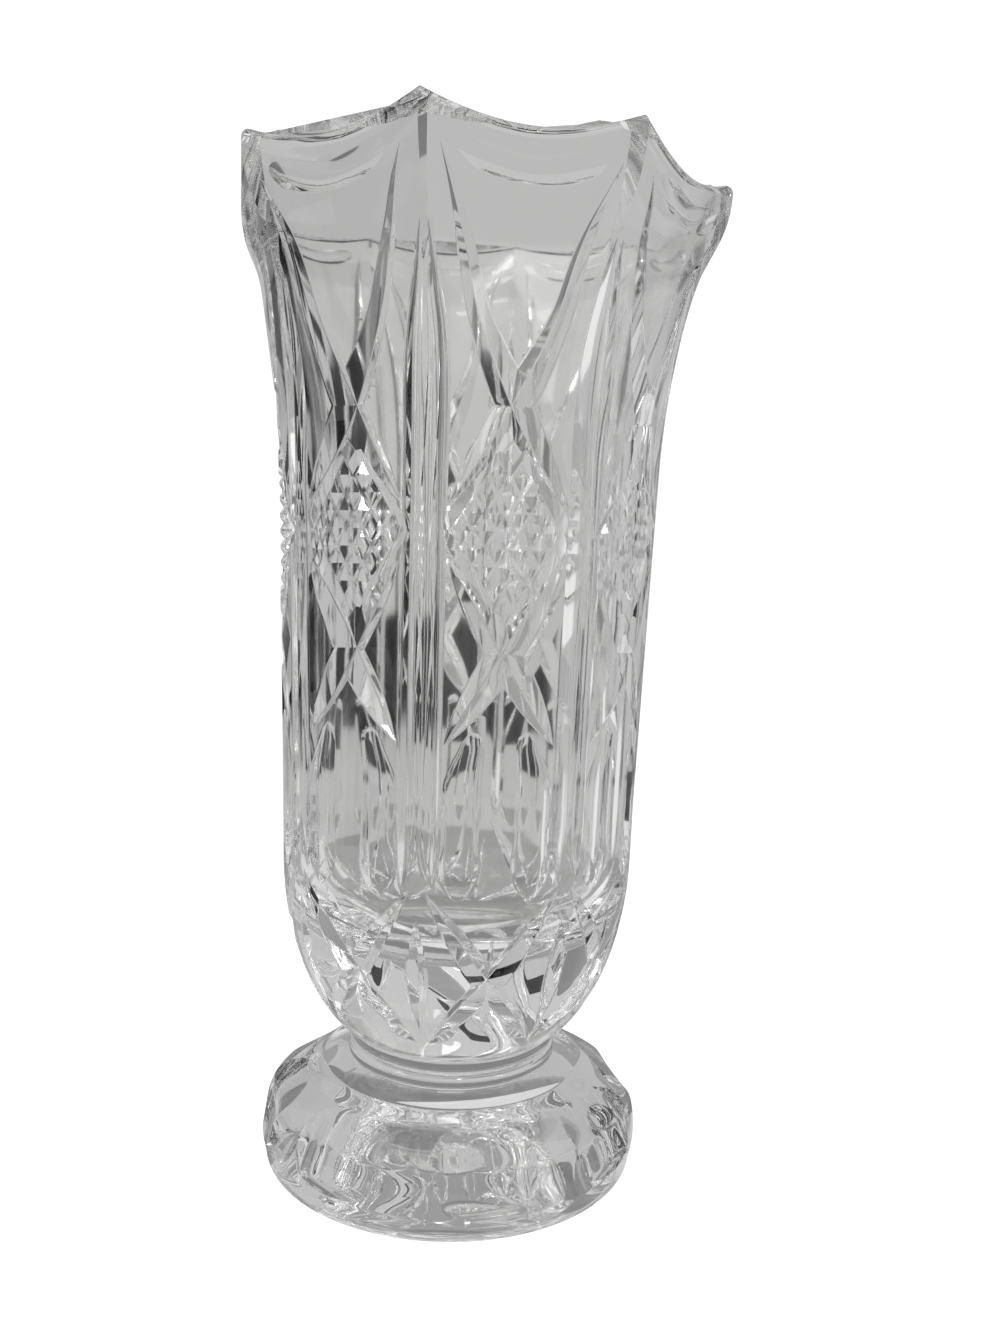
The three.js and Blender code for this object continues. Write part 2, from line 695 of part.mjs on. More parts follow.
const vase = new THREE.Group();
vase.add(piece('bowl', geometryOf(bowl()), 0xe9eeee));
vase.add(piece('stem_collar', stemCollar(), 0xe6eced));
vase.add(piece('foot', geometryOf(foot()), 0xe4eaeb));

export default vase;
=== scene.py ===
"""Footed vase of clear pressed glass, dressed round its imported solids.

The bowl is made the way its mould is: a smooth blank, a deep hollow, and V-shaped and round-edged cuts
that run over the surface and repeat eight times round the axis. The stem and the foot are turned, and
the three pieces meet in seams that bend no light, because the real ones are joined hot.

Sizes inside the classes are millimetres, and meshes are metres. +Z is up, and one rib faces -Y.
"""

import logging
import math
from dataclasses import dataclass
from enum import Enum
from typing import Callable, Protocol, Sequence

import bmesh
import bpy
import numpy as np
from mathutils import Matrix, Vector


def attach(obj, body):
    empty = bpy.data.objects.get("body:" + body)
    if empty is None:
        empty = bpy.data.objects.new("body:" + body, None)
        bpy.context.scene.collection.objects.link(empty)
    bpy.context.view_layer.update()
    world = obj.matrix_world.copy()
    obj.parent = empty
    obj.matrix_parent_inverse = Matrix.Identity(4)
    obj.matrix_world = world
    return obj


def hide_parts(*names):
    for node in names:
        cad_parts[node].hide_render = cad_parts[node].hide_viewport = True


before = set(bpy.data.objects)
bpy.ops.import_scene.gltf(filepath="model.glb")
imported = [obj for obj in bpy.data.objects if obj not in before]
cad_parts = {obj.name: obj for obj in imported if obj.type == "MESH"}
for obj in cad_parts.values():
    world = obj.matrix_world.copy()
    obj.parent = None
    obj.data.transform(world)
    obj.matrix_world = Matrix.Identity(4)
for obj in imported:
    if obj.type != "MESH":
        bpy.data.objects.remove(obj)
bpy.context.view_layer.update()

log = logging.getLogger("footed_vase")

MM = 0.001
REPEATS = 8
SECTOR = 360.0 / REPEATS
HALF_SECTOR = SECTOR / 2
CLEARANCE = 0.6
MERGE_DISTANCE = 1e-6
FLAT = 0.999

Pair = tuple[float, float]
Triple = tuple[float, float, float]
Knot = tuple[float, float, float]
Feed = bpy.types.NodeSocket | float | Triple
Spot = Callable[[float, float], tuple[Vector, Vector]]


# Geometry shared by the pieces


class Flank(Enum):
    """Half-width that a V-shaped wheel opens for each millimetre of depth."""

    MITRE = 1.15
    FAN = 1.3


class Side(Enum):
    """The two mirrored directions of a cut inside its panel."""

    LEFT = -1
    RIGHT = 1


class Wheel(Protocol):
    """A cutting wheel, known by the outline of its edge."""

    hugs: bool

    def section(self, depth: float) -> list[Pair]:
        """Outline of the wheel's edge at this depth."""


@dataclass(frozen=True)
class Shoulder:
    """Rounded edge where the wall of a cut runs out on the glass. A slight crease is left at its end."""

    radius: float = 0.9
    crease: float = math.radians(13.5)
    steps: int = 5
    clear: float = 0.05
    furthest: float = 0.8
    idle_reach: float = 0.2
    growth: float = 1.2
    crease_share: float = 0.6

    def fitted(self, depth: float) -> float:
        """Radius of the rounding at this depth: shallow cuts have a smaller one."""
        return min(self.radius, self.growth * depth)

    def outline(self, depth: float, offset: float, lean: float) -> list[Pair]:
        """Outline from the wall out to clear of the glass.

        Args:
            depth: how deep the cut is.
            offset: how far from the cut's middle the rounding leaves the wall.
            lean: the wall's angle to the glass there, in radians.

        Returns:
            Offsets to the side and out of the glass.
        """
        if depth <= 0.0:
            reach = min(self.idle_reach, depth + CLEARANCE)
            return [(0.0, -depth)] * (self.steps + 1) + [(reach, max(self.clear, -depth)), (reach, CLEARANCE)]
        radius = self.fitted(depth)
        last = min(self.crease, self.crease_share * lean)
        centre = offset + radius * math.sin(lean)
        arc = [
            (centre - radius * math.sin(a), radius * (math.cos(a) - 1))
            for a in np.linspace(lean, last, self.steps + 1)
        ]
        end, low = arc[-1]
        reach = end + min((self.clear - low) / math.tan(last), self.furthest)
        return arc + [(reach, self.clear), (reach, CLEARANCE)]


def mirrored(outline: Sequence[Pair]) -> list[Pair]:
    """The same outline on the other side, read in the other direction."""
    return [(-x, y) for x, y in reversed(outline)]


def rounded_tip(left: float, right: float, radius: float, depth: float, steps: int) -> list[Pair]:
    """Rounded bottom between two straight walls that meet at the depth.

    Args:
        left: the left wall's angle to the glass, in radians.
        right: the right wall's.
        radius: radius of the rounding.
        depth: depth at which the walls would meet.
        steps: how many steps the arc has.

    Returns:
        The arc's points, from left to right.
    """
    skew = (math.cos(right) - math.cos(left)) / (math.sin(right) + math.sin(left))
    up = radius / (math.cos(right) - skew * math.sin(right))
    return [
        (skew * up + radius * math.sin(a), up - radius * math.cos(a) - depth)
        for a in np.linspace(-left, right, steps + 1)
    ]


@dataclass(frozen=True)
class MitreWheel:
    """Wheel with a V-shaped edge, rounded at its tip."""

    flank: Flank = Flank.MITRE
    tip_radius: float = 0.3
    tip_share: float = 0.35
    steps: int = 8
    shoulder: Shoulder = Shoulder()
    hugs: bool = True

    def section(self, depth: float) -> list[Pair]:
        """Outline of the V, as offsets to the side and out of the glass.

        Args:
            depth: how deep the groove is, negative where the wheel is clear of the glass.

        Returns:
            The points from the left shoulder over the bottom to the right one.
        """
        lean = math.atan(1 / self.flank.value)
        drop = self.shoulder.fitted(depth) * (1 - math.cos(lean))
        right = self.shoulder.outline(depth, self.flank.value * (depth - drop), lean)
        radius = min(self.tip_radius, self.tip_share * max(depth, 0.0))
        return mirrored(right) + rounded_tip(lean, lean, radius, depth, self.steps) + right


@dataclass(frozen=True)
class ReedWheel:
    """Wheel that leaves a steep wall on its left and half of a rib's rounded back on its right."""

    half_width: float
    full_depth: float
    wall_run: float
    tip_radius: float = 0.2
    back_share: float = 0.86
    crest_lean: float = 0.12
    crest_run: float = 0.1
    steps: int = 12
    shoulder: Shoulder = Shoulder()
    hugs: bool = True

    def section(self, depth: float) -> list[Pair]:
        """Outline of the groove, as offsets to the side and out of the glass.

        Args:
            depth: how deep the groove is, negative where the wheel is clear of the glass.

        Returns:
            The points from the wall's shoulder over the bottom to the rib's crest.
        """
        wall = math.atan(1 / self.wall_run)
        drop = self.shoulder.fitted(depth) * (1 - math.cos(wall))
        left = mirrored(self.shoulder.outline(depth, self.wall_run * (depth - drop), wall))
        if depth <= 0.0:
            reach = min(self.shoulder.idle_reach, depth + CLEARANCE)
            return left + [(0.0, -depth)] * (2 * self.steps) + [(reach, CLEARANCE)]
        share = depth / self.full_depth
        crest = self.half_width * share
        radius = (crest * crest + depth * depth) / (2 * depth)
        foot = math.asin(crest / radius)
        tip = rounded_tip(wall, foot, self.tip_radius * share, depth, self.steps)
        back = [
            (crest - radius * math.sin(a), radius * (math.cos(a) - 1))
            for a in np.linspace(self.back_share * foot, self.crest_lean, self.steps - 2)
        ]
        end = crest + self.crest_run
        return left + tip + back + [(end, self.shoulder.clear), (end, CLEARANCE)]


@dataclass(frozen=True)
class MirroredWheel:
    """Another wheel turned about, so that its left side is on its right."""

    wheel: ReedWheel
    hugs: bool = True

    def section(self, depth: float) -> list[Pair]:
        """Outline of the other wheel's edge, mirrored."""
        return mirrored(self.wheel.section(depth))


@dataclass(frozen=True)
class ChannelWheel:
    """Wheel for flutes with steep walls and a nearly flat floor. The flute narrows as it gets shallower."""

    half_width: float
    floor_half_width: float
    wall_depth: float
    full_depth: float
    corner_radius: float = 0.7
    corner_share: float = 0.5
    shallowest: float = 0.02
    steps: int = 6
    shoulder: Shoulder = Shoulder()
    hugs: bool = True

    def section(self, depth: float) -> list[Pair]:
        """Outline of the flute, as offsets to the side and out of the glass.

        Args:
            depth: how deep the flute is, negative where the wheel is clear of the glass.

        Returns:
            The points from the left shoulder over the floor to the right one.
        """
        share = (depth + CLEARANCE) / (self.full_depth + CLEARANCE)
        run = (self.half_width - self.floor_half_width) / self.wall_depth
        foot_depth = (self.wall_depth + CLEARANCE) * share - CLEARANCE
        if foot_depth < self.shallowest:
            above = self.shoulder.outline(min(depth, 0.0), 0.0, 0.0)
            return mirrored(above) + [(0.0, max(-depth, 0.0))] * (2 * self.steps + 1) + above
        foot = self.floor_half_width * share
        lean = math.atan(1 / run)
        level = math.atan((depth - foot_depth) / foot)
        radius = min(self.corner_radius, self.corner_share * foot_depth)
        tangent = radius * math.tan((lean - level) / 2)
        centre_x = foot - tangent * math.cos(level) - radius * math.sin(level)
        centre_y = -foot_depth - tangent * math.sin(level) + radius * math.cos(level)
        corner = [
            (centre_x + radius * math.sin(a), centre_y - radius * math.cos(a))
            for a in np.linspace(level, lean, self.steps)
        ]
        drop = self.shoulder.fitted(foot_depth) * (1 - math.cos(lean))
        right = corner + self.shoulder.outline(foot_depth, foot + run * (foot_depth - drop), lean)
        return mirrored(right) + [(0.0, -depth)] + right


@dataclass(frozen=True)
class RoundWheel:
    """Wheel with a round edge, for shallow prints."""

    radius: float
    steps: int = 14
    halvings: int = 24
    shoulder: Shoulder = Shoulder()
    hugs: bool = True

    def section(self, depth: float) -> list[Pair]:
        """Outline of the wheel's edge, as offsets to the side and out of the glass.

        Args:
            depth: how deep the print is, negative where the wheel is clear of the glass.

        Returns:
            The points of a shallow arc and of its two shoulders.
        """
        low, high = 0.0, math.sqrt(2.0 * self.radius * max(depth, 0.0))
        rounding = self.shoulder.fitted(depth)
        for _ in range(self.halvings):
            offset = (low + high) / 2
            lean = math.atan(offset / self.radius)
            above = offset * offset / (2 * self.radius) - depth + rounding * (1 - math.cos(lean))
            low, high = (low, offset) if above > 0 else (offset, high)
        floor = [
            (high * t, (high * t) ** 2 / (2 * self.radius) - depth)
            for t in np.linspace(-1.0, 1.0, self.steps + 1)
        ][1:-1]
        right = self.shoulder.outline(depth, high, math.atan(high / self.radius))
        return mirrored(right) + floor + right


@dataclass(frozen=True)
class FlatWheel:
    """Wheel with a broad flat edge, hollowed by a small sag."""

    half_width: float
    sag: float
    steps: int = 12
    hugs: bool = False

    def section(self, depth: float) -> list[Pair]:
        """Outline of the wheel's edge, as offsets to the side and out of the glass.

        Args:
            depth: how deep the print is.

        Returns:
            The points of the two sides and the floor between them.
        """
        ticks = np.linspace(-1.0, 1.0, self.steps + 1)
        floor = [(self.half_width * t, self.sag * t * t - depth) for t in ticks]
        return [(-self.half_width, CLEARANCE), *floor, (self.half_width, CLEARANCE)]


class Shell:
    """Points and faces of one or more closed skins, in millimetres."""

    def __init__(self) -> None:
        """Starts empty."""
        self.points: list[Vector] = []
        self.faces: list[tuple[int, ...]] = []

    def add(self, other: "Shell") -> None:
        """Takes in another shell's skins.

        Args:
            other: the shell to copy from.
        """
        shift = len(self.points)
        self.points.extend(other.points)
        self.faces.extend(tuple(i + shift for i in face) for face in other.faces)

    def solid(self, name: str) -> bpy.types.Object:
        """Makes the shell an object of the scene, with shared corners and its faces pointing out.

        Args:
            name: the object's name.

        Returns:
            The new object, in metres.
        """
        mesh = bpy.data.meshes.new(name)
        mesh.from_pydata([p * MM for p in self.points], [], self.faces)
        work = bmesh.new()
        work.from_mesh(mesh)
        bmesh.ops.remove_doubles(work, verts=work.verts, dist=MERGE_DISTANCE)
        bmesh.ops.recalc_face_normals(work, faces=work.faces)
        work.to_mesh(mesh)
        work.free()
        made = bpy.data.objects.new(name, mesh)
        bpy.context.scene.collection.objects.link(made)
        return made


def smooth_step(x: float, low: float, high: float) -> float:
    """Rises from 0 at low to 1 at high, level at both ends."""
    t = min(max((x - low) / (high - low), 0.0), 1.0)
    return t * t * (3.0 - 2.0 * t)


def around(angle: float, radius: float, z: float) -> Vector:
    """Point on a circle about the axis. Angle 0 faces -Y and grows towards +X, in degrees."""
    a = math.radians(angle)
    return Vector((radius * math.sin(a), -radius * math.cos(a), z))


def circle(radius: float, z: float, count: int) -> list[Vector]:
    """Ring of points about the axis."""
    return [around(k * 360.0 / count, radius, z) for k in range(count)]


def from_panel_middle(angle: float) -> float:
    """Degrees from the nearest middle of a panel. Ribs stand at -22.5 and +22.5."""
    return angle % SECTOR - HALF_SECTOR


def loft(rings: Sequence[Sequence[Vector]]) -> Shell:
    """Closed skin through rings of equally many points, with a flat face over each end."""
    count = len(rings[0])
    shell = Shell()
    for ring in rings:
        shell.points.extend(ring)
    for r in range(len(rings) - 1):
        for k in range(count):
            a = r * count + k
            b = r * count + (k + 1) % count
            shell.faces.append((a, b, b + count, a + count))
    last = (len(rings) - 1) * count
    shell.faces.append(tuple(reversed(range(count))))
    shell.faces.append(tuple(range(last, last + count)))
    return shell


def bezier(start: Pair, first: Pair, second: Pair, end: Pair, count: int) -> list[Pair]:
    """Points along one cubic Bezier stretch, without its start.

    Args:
        start: where the stretch begins.
        first: its first handle.
        second: its second handle.
        end: where it ends.
        count: how many points to give.

    Returns:
        Radius and height of each point.
    """
    found = []
    for i in range(1, count + 1):
        t = i / count
        weights = ((1 - t) ** 3, 3 * t * (1 - t) ** 2, 3 * t * t * (1 - t), t**3)
        found.append(tuple(
            sum(w * p[axis] for w, p in zip(weights, (start, first, second, end)))
            for axis in (0, 1)
        ))
    return found


class Profile:
    """Radius by height, along a chain of Bezier stretches."""

    FINE = 120

    def __init__(self, start: Pair, stretches: Sequence[tuple[Pair, Pair, Pair]]) -> None:
        """Joins the stretches.

        Args:
            start: radius and height where the chain begins.
            stretches: the two handles and the end of each stretch.
        """
        self.start = start
        self.stretches = list(stretches)
        fine = self.points([self.FINE] * len(self.stretches))
        self.radii = [p[0] for p in fine]
        self.heights = [p[1] for p in fine]

    def points(self, counts: Sequence[int]) -> list[Pair]:
        """Points along the chain.

        Args:
            counts: how many points each stretch gets.

        Returns:
            Radius and height of each point, from the start.
        """
        found = [self.start]
        for (first, second, end), count in zip(self.stretches, counts):
            found += bezier(found[-1], first, second, end, count)
        return found

    def radius(self, z: float) -> float:
        """Radius at a height."""
        return float(np.interp(z, self.heights, self.radii))


def spline(knots: Sequence[Knot], count: int) -> list[Knot]:
    """Centripetal Catmull-Rom line through knots.

    Args:
        knots: the points that the line passes.
        count: how many steps to divide it into.

    Returns:
        The points at the ends of the steps.
    """
    fixed = [Vector(k) for k in knots]
    fixed = [2 * fixed[0] - fixed[1], *fixed, 2 * fixed[-1] - fixed[-2]]
    found = []
    for i in range(count + 1):
        place = (len(knots) - 1) * i / count
        first = min(int(place), len(knots) - 2)
        t = place - first
        p0, p1, p2, p3 = fixed[first:first + 4]
        d0, d1, d2 = (math.sqrt(max((b - a).length, 1e-8)) for a, b in ((p0, p1), (p1, p2), (p2, p3)))
        start = ((p1 - p0) / d0 - (p2 - p0) / (d0 + d1) + (p2 - p1) / d1) * d1
        end = ((p2 - p1) / d1 - (p3 - p1) / (d1 + d2) + (p3 - p2) / d2) * d1
        found.append(tuple(
            p1 + start * t
            + (3 * (p2 - p1) - 2 * start - end) * t * t
            + (2 * (p1 - p2) + start + end) * t**3
        ))
    return found


def groove(knots: Sequence[Knot], count: int, wheel: Wheel, spot: Spot) -> Shell:
    """Cutter for one groove that runs over a surface.

    Args:
        knots: place on the surface and depth, as two coordinates and millimetres.
        count: how many steps the cut has.
        wheel: the wheel that makes it.
        spot: turns the two coordinates into a point and the direction out of the glass.

    Returns:
        The space that the wheel sweeps.
    """
    stations = [(*spot(u, v), max(depth, -CLEARANCE)) for u, v, depth in spline(knots, count)]
    rings = []
    for i, (middle, away, depth) in enumerate(stations):
        before, after = stations[max(i - 1, 0)][0], stations[min(i + 1, count)][0]
        side = (after - before).normalized().cross(away).normalized()
        ring = []
        for x, y in wheel.section(depth):
            at, out = middle + side * x, away
            if wheel.hugs:
                at, out = spot(math.degrees(math.atan2(at.x, -at.y)), at.z)
            ring.append(at + out * y)
        rings.append(ring)
    return loft(rings)


def in_each_panel(make: Callable[[float], Shell], start: float = HALF_SECTOR) -> Shell:
    """The same cutter all the way round.

    Args:
        make: gives the cutter for the angle of its middle line.
        start: the first angle.

    Returns:
        All of them in one shell.
    """
    together = Shell()
    for k in range(REPEATS):
        together.add(make(start + k * SECTOR))
    return together


def grooves(
    knots: Sequence[Knot], count: int, wheel: Wheel, spot: Spot, side: Side = Side.RIGHT,
    start: float = HALF_SECTOR,
) -> Shell:
    """Cutters for the same groove in every panel.

    Args:
        knots: angle from the groove's middle line, height and depth.
        count: how many steps each cut has.
        wheel: the wheel that makes them.
        spot: turns angle and height into a point and the direction out of the glass.
        side: LEFT mirrors the knots.
        start: angle of the first middle line.

    Returns:
        What the wheel sweeps in all panels.
    """
    return in_each_panel(lambda middle: groove(
        [(middle + side.value * turn, z, depth) for turn, z, depth in knots], count, wheel, spot,
    ), start)


def carve(body: bpy.types.Object, cutter: Shell, name: str) -> None:
    """Cuts a shell's space out of a solid.

    Args:
        body: the solid.
        cutter: what to take away. Its skins don't overlap each other.
        name: what the cut is called in the log.
    """
    tool = cutter.solid("cutter_" + name)
    cut = body.modifiers.new("cut", "BOOLEAN")
    cut.operation = "DIFFERENCE"
    cut.solver = "MANIFOLD"
    cut.object = tool
    result = bpy.data.meshes.new_from_object(body.evaluated_get(bpy.context.evaluated_depsgraph_get()))
    before = body.data
    if len(result.polygons) == len(before.polygons):
        raise RuntimeError("the cut " + name + " took nothing away")
    body.modifiers.clear()
    body.data = result
    result.name = before.name
    bpy.data.meshes.remove(before)
    spent = tool.data
    bpy.data.objects.remove(tool)
    bpy.data.meshes.remove(spent)
    log.info("cut %s: %d faces", name, len(result.polygons))


def soften(body: bpy.types.Object, sharpest: float) -> None:
    """Shades a solid smooth, with its edges kept where faces meet at more than an angle.

    Args:
        body: the solid.
        sharpest: that angle, in degrees.
    """
    mesh = body.data
    mesh.polygons.foreach_set("use_smooth", [True] * len(mesh.polygons))
    mesh.set_sharp_from_angle(angle=math.radians(sharpest))
    mesh.update()


# Finishes


class Graph:
    """Short ways to build one node tree."""

    def __init__(self, tree: bpy.types.NodeTree) -> None:
        """Starts the tree afresh."""
        self.tree = tree
        tree.nodes.clear()

    def feed(self, socket: bpy.types.NodeSocket, value: Feed) -> None:
        """Links an input to an output, or sets its value.

        Args:
            socket: the input.
            value: an output, a number or a colour. A number is a grey where the input takes a colour.
        """
        if isinstance(value, bpy.types.NodeSocket):
            self.tree.links.new(value, socket)
        elif socket.type == "RGBA":
            colour = (value,) * 3 if isinstance(value, float) else value
            socket.default_value = (*colour, 1.0)
        else:
            socket.default_value = value

    def add(self, kind: str, **inputs: Feed) -> bpy.types.Node:
        """Adds a shader node.

        Args:
            kind: its type, such as Bump.
            inputs: what each input gets. An underscore stands for a space in the input's name.

        Returns:
            The node.
        """
        made = self.tree.nodes.new("ShaderNode" + kind)
        for name, value in inputs.items():
            self.feed(made.inputs[name.replace("_", " ")], value)
        return made

    def maths(self, operation: str, first: Feed, second: Feed = 0.0) -> bpy.types.NodeSocket:
        """Result of one Math node.

        Args:
            operation: what it does.
            first: its first input.
            second: its second input.

        Returns:
            The result.
        """
        made = self.tree.nodes.new("ShaderNodeMath")
        made.operation = operation
        self.feed(made.inputs[0], first)
        self.feed(made.inputs[1], second)
        return made.outputs["Value"]

    def length(self, vector: bpy.types.NodeSocket) -> bpy.types.NodeSocket:
        """Length of a vector."""
        made = self.add("VectorMath", Vector=vector)
        made.operation = "LENGTH"
        return made.outputs["Value"]

    def blend(self, share: bpy.types.NodeSocket, first: Feed, second: Feed) -> bpy.types.NodeSocket:
        """Colour between two others.

        Args:
            share: how much of the second colour shows.
            first: one colour.
            second: the other one.

        Returns:
            The blend.
        """
        made = self.tree.nodes.new("ShaderNodeMix")
        made.data_type = "RGBA"
        for name, value in (("Factor", share), ("A", first), ("B", second)):
            self.feed(made.inputs[name], value)
        return made.outputs["Result"]

    def surface(self, share: bpy.types.NodeSocket, first: bpy.types.Node, second: bpy.types.Node) -> None:
        """Makes the material's surface from two shaders.

        Args:
            share: how much of the second shader shows.
            first: one shader.
            second: the other one.
        """
        mix = self.add("MixShader", Fac=share)
        for i, shader in enumerate((first, second)):
            self.feed(mix.inputs[i + 1], shader.outputs[0])
        self.add("OutputMaterial", Surface=mix.outputs["Shader"])


def new_material(name: str) -> tuple[bpy.types.Material, Graph]:
    """Empty material and its graph."""
    made = bpy.data.materials.new(name)
    made.use_nodes = True
    return made, Graph(made.node_tree)


def polished_surface_group() -> bpy.types.NodeTree:
    """Group for what fire polishing leaves on pressed glass: soft ripples, a faint haze and an uneven tint.

    Returns:
        The group, with Tint, Roughness and Relief outputs.
    """
    group_name, cloud_scale, speck_scale, rarity = "fire_polished_surface", 22.0, 900.0, (0.62, 0.8)
    known = bpy.data.node_groups.get(group_name)
    if known:
        return known
    tree = bpy.data.node_groups.new(group_name, "ShaderNodeTree")
    for way, kind, names in (
        ("INPUT", "Color", ("Pale Tint", "Deep Tint")),
        ("INPUT", "Float", ("Ripple Scale", "Polish", "Haze")),
        ("OUTPUT", "Color", ("Tint",)),
        ("OUTPUT", "Float", ("Roughness", "Relief")),
    ):
        for name in names:
            tree.interface.new_socket(name=name, in_out=way, socket_type="NodeSocket" + kind)
    graph = Graph(tree)
    given = tree.nodes.new("NodeGroupInput").outputs
    result = tree.nodes.new("NodeGroupOutput").inputs
    place = graph.add("TexCoord").outputs["Object"]
    ripple = graph.add("TexNoise", Vector=place, Scale=given["Ripple Scale"], Detail=2.0, Roughness=0.4)
    cloud = graph.add("TexNoise", Vector=place, Scale=cloud_scale, Detail=3.0)
    specks = graph.add("TexNoise", Vector=place, Scale=speck_scale, Detail=1.0)
    rare = graph.add("MapRange", Value=specks.outputs["Fac"], From_Min=rarity[0], From_Max=rarity[1])
    haze = graph.add("MapRange", Value=rare.outputs["Result"], To_Min=given["Polish"], To_Max=given["Haze"])
    graph.feed(result["Tint"], graph.blend(cloud.outputs["Fac"], given["Pale Tint"], given["Deep Tint"]))
    graph.feed(result["Roughness"], haze.outputs["Result"])
    graph.feed(result["Relief"], ripple.outputs["Fac"])
    return tree


@dataclass(frozen=True)
class PressedGlass:
    """Clear pressed glass, fire-polished after the mould."""

    name: str
    pale: Triple = (0.997, 0.996, 0.995)
    deep: Triple = (0.975, 0.973, 0.967)
    ripple_scale: float = 55.0
    ripple_depth: float = 0.00006
    polish: float = 0.0
    haze: float = 0.04
    refraction: float = 1.52
    clearness: float = 0.97

    def material(self) -> bpy.types.Material:
        """Builds the finish.

        Returns:
            A glass that lets lamp light through to what stands under it.
        """
        made, graph = new_material(self.name)
        polished = graph.add("Group")
        polished.node_tree = polished_surface_group()
        for name, value in (
            ("Pale Tint", self.pale), ("Deep Tint", self.deep), ("Ripple Scale", self.ripple_scale),
            ("Polish", self.polish), ("Haze", self.haze),
        ):
            graph.feed(polished.inputs[name], value)
        bump = graph.add("Bump", Strength=1.0, Distance=self.ripple_depth, Height=polished.outputs["Relief"])
        glass = graph.add(
            "BsdfPrincipled", Metallic=0.0, Transmission_Weight=1.0, IOR=self.refraction,
            Base_Color=polished.outputs["Tint"], Roughness=polished.outputs["Roughness"],
            Normal=bump.outputs["Normal"],
        )
        ray = graph.add("LightPath").outputs
        lamp_or_diffuse = graph.maths("MAXIMUM", ray["Is Shadow Ray"], ray["Is Diffuse Ray"])
        graph.surface(lamp_or_diffuse, glass, graph.add("BsdfTransparent", Color=self.clearness))
        return made


@dataclass(frozen=True)
class HotSeam:
    """Faces where two pieces are fused, so that no light bends between them."""

    name: str = "hot_seam"

    def material(self) -> bpy.types.Material:
        """Builds the finish, once for all seams.

        Returns:
            A material that lets everything straight through.
        """
        known = bpy.data.materials.get(self.name)
        if known:
            return known
        made, graph = new_material(self.name)
        graph.add("OutputMaterial", Surface=graph.add("BsdfTransparent").outputs["BSDF"])
        return made


# Pieces of the vase


class GlassPiece:
    """What the three pieces share: how they are dressed and seated in the frame."""

    node: str
    finish: PressedGlass
    seams: tuple[float, ...] = ()
    seam_radius: float = 25.4
    seam_slack: float = 0.01
    sharpest: float = 24.0

    def build(self) -> bpy.types.Object:
        """Makes the piece's mesh."""
        raise NotImplementedError

    def dress(self, body: bpy.types.Object) -> None:
        """Gives the piece its glass, and its seam faces the seam finish.

        Args:
            body: the piece.
        """
        body.data.materials.clear()
        body.data.materials.append(self.finish.material())
        body.data.materials.append(HotSeam().material())
        count = 0
        for face in body.data.polygons:
            flat = abs(face.normal.z) > FLAT
            level = any(abs(face.center.z / MM - z) < self.seam_slack for z in self.seams)
            inside = math.hypot(face.center.x, face.center.y) / MM < self.seam_radius
            face.material_index = int(flat and level and inside)
            count += face.material_index
        log.info("%s: %d faces, %d of them fused", body.name, len(body.data.polygons), count)

    def seat(self) -> bpy.types.Object:
        """Builds and dresses the piece, and puts it in its node's place.

        Returns:
            The finished piece.
        """
        body = self.build()
        soften(body, self.sharpest)
        self.dress(body)
        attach(body, "root")
        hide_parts(self.node)
        return body


